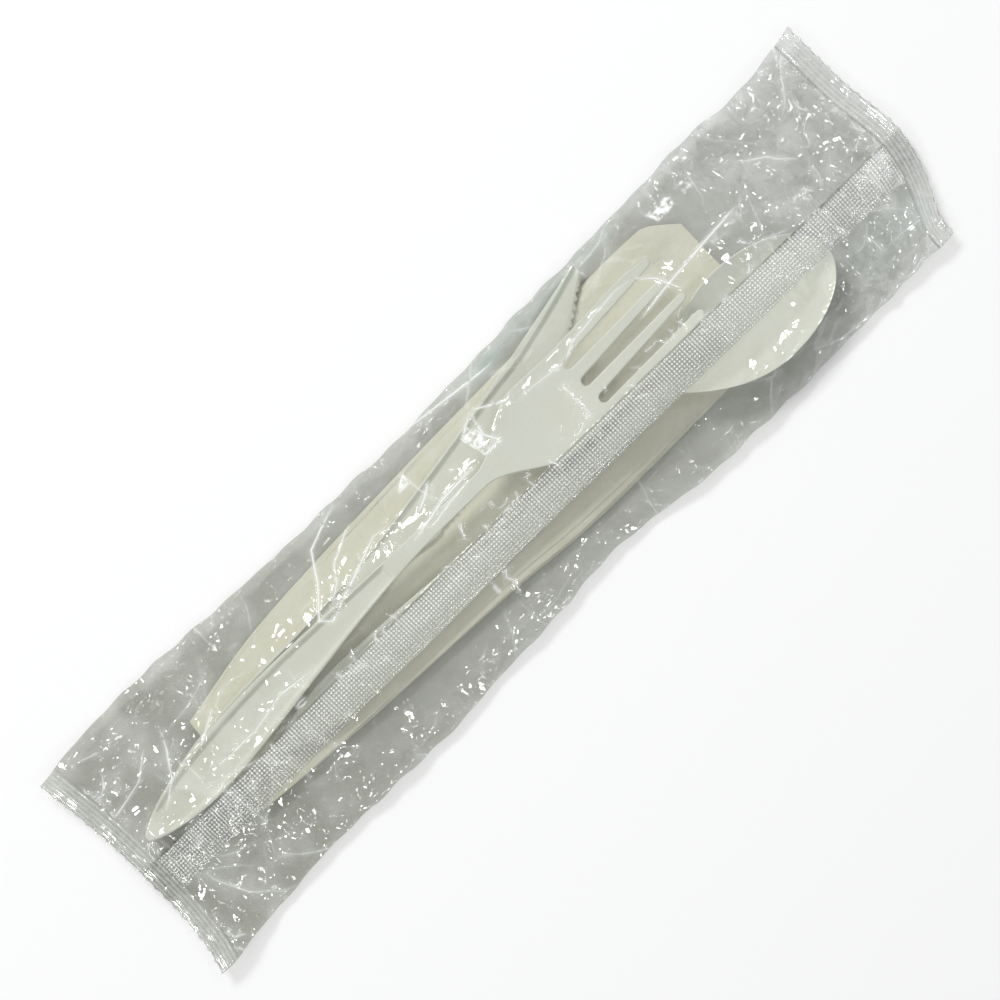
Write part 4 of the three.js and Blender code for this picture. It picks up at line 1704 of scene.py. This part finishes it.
@dataclass
class Studio:
    """The pale floor, the lights and the camera straight above the pack."""

    turn_deg: float = -45.6
    frame_width: float = 222.2
    lens: float = 85
    sensor: float = 36
    aim_from_middle: Pair = (-1.48, 0.30)
    lights: tuple[Softbox, ...] = (
        Softbox("key", 85, 50, (0.34, 0.60), 21, glints=False),
        Softbox("left", 178, 42, (0.20, 0.22), 18),
        Softbox("front left", 228, 34, (0.09, 0.26), 17),
        Softbox("right", 8, 36, (0.09, 0.26), 17),
        Softbox("front", 292, 40, (0.09, 0.26), 15),
        Softbox("back", 100, 30, (0.09, 0.20), 17),
    )
    sky: float = 0.37
    sky_colour: Colour = (0.98, 0.99, 1.0, 1)
    floor_half: float = 6000
    floor_drop: float = 0.02
    floor_colour: Colour = (0.92, 0.92, 0.92, 1)

    def build(self) -> None:
        """Adds the lights, the sky, the floor and the camera."""
        for light in self.lights:
            light.hang()
        world = bpy.data.worlds.new("soft_room")
        world.use_nodes = True
        colour, strength = world.node_tree.nodes["Background"].inputs[:2]
        colour.default_value, strength.default_value = self.sky_colour, self.sky
        bpy.context.scene.world = world
        self.lay_floor()
        self.hang_camera()

    def lay_floor(self) -> None:
        """Adds the floor, one plain square just under the pack."""
        corners = np.array([[-1, -1, 0], [1, -1, 0], [1, 1, 0], [-1, 1, 0]]) * self.floor_half
        corners = corners - [0, 0, self.floor_drop]
        floor = new_piece("floor", corners, np.array([[0, 1, 2, 3]]), smooth=False)
        m = Mixer("pale_floor")
        shader = m.node("BsdfDiffuse", self.floor_colour, 0.2)
        floor.data.materials.append(m.finish(shader.outputs[0]))
        floor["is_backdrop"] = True

    def hang_camera(self) -> None:
        """Adds the camera, straight above the pack, and sets how light is worked out."""
        camera = bpy.data.objects.new("camera", bpy.data.cameras.new("camera"))
        camera.data.lens, camera.data.sensor_width = self.lens, self.sensor
        camera.data.clip_start, camera.data.clip_end = 0.01, 20
        low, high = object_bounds()
        middle = (np.array(low) + np.array(high)) / 2
        aim = middle[:2] + np.array(self.aim_from_middle) * MM
        height = middle[2] + self.lens / self.sensor * self.frame_width * MM
        camera.location = (aim[0], aim[1], height)
        camera.rotation_euler = (0, 0, math.radians(self.turn_deg))
        scene = bpy.context.scene
        scene.collection.objects.link(camera)
        scene.camera = camera
        scene.view_settings.view_transform = "Standard"
        scene.cycles.transparent_max_bounces = 16
        scene.cycles.max_bounces = 5
        scene.cycles.diffuse_bounces = 3
        scene.cycles.glossy_bounces = 2


# ---------------------------------------------------------------- the pack


def dress(piece: Object, finish: MouldedPlastic | Tissue | ClearFilm, node: str) -> None:
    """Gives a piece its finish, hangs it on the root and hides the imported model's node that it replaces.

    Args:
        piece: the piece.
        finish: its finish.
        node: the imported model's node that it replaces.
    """
    piece.data.materials.append(finish.material())
    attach(piece, "root")
    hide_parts(node)
    log.info("%s: %d faces", piece.name, len(piece.data.polygons))


def main() -> None:
    """Builds the studio, then the pack piece by piece."""
    logging.basicConfig(level=logging.INFO, format="%(name)s %(message)s")
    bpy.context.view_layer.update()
    Studio().build()
    knife = Knife(
        "knife_moulding", length=158.8, handle_half=5.7, neck_half=1.5, neck_at=80, panel_end=72,
        at=(-109.9, 2.8), turn_deg=6.2,
    )
    spoon = Spoon(
        "spoon_moulding", length=165.4, handle_half=5.5, neck_half=2.3, neck_at=112, panel_end=78,
        at=(-76, -3.7), turn_deg=-2.87,
    )
    fork = Fork(
        "fork_moulding", length=170, handle_half=5.75, neck_half=1.8, neck_at=98, panel_end=80.7,
        at=(-110.4, 3.5), turn_deg=1.15,
    )
    napkin = Napkin()
    plastic = MouldedPlastic("moulded_plastic")
    for utensil, node in ((knife, "knife"), (spoon, "spoon"), (fork, "fork")):
        dress(utensil.build(), plastic, node)
    tissue = napkin.build()
    dress(tissue, Tissue(), "napkin")
    sleeve = FilmSleeve([knife, spoon, fork, napkin])
    film = sleeve.build()
    dress(film, ClearFilm(), "film_wrapper")


if __name__ == "__main__":
    main()
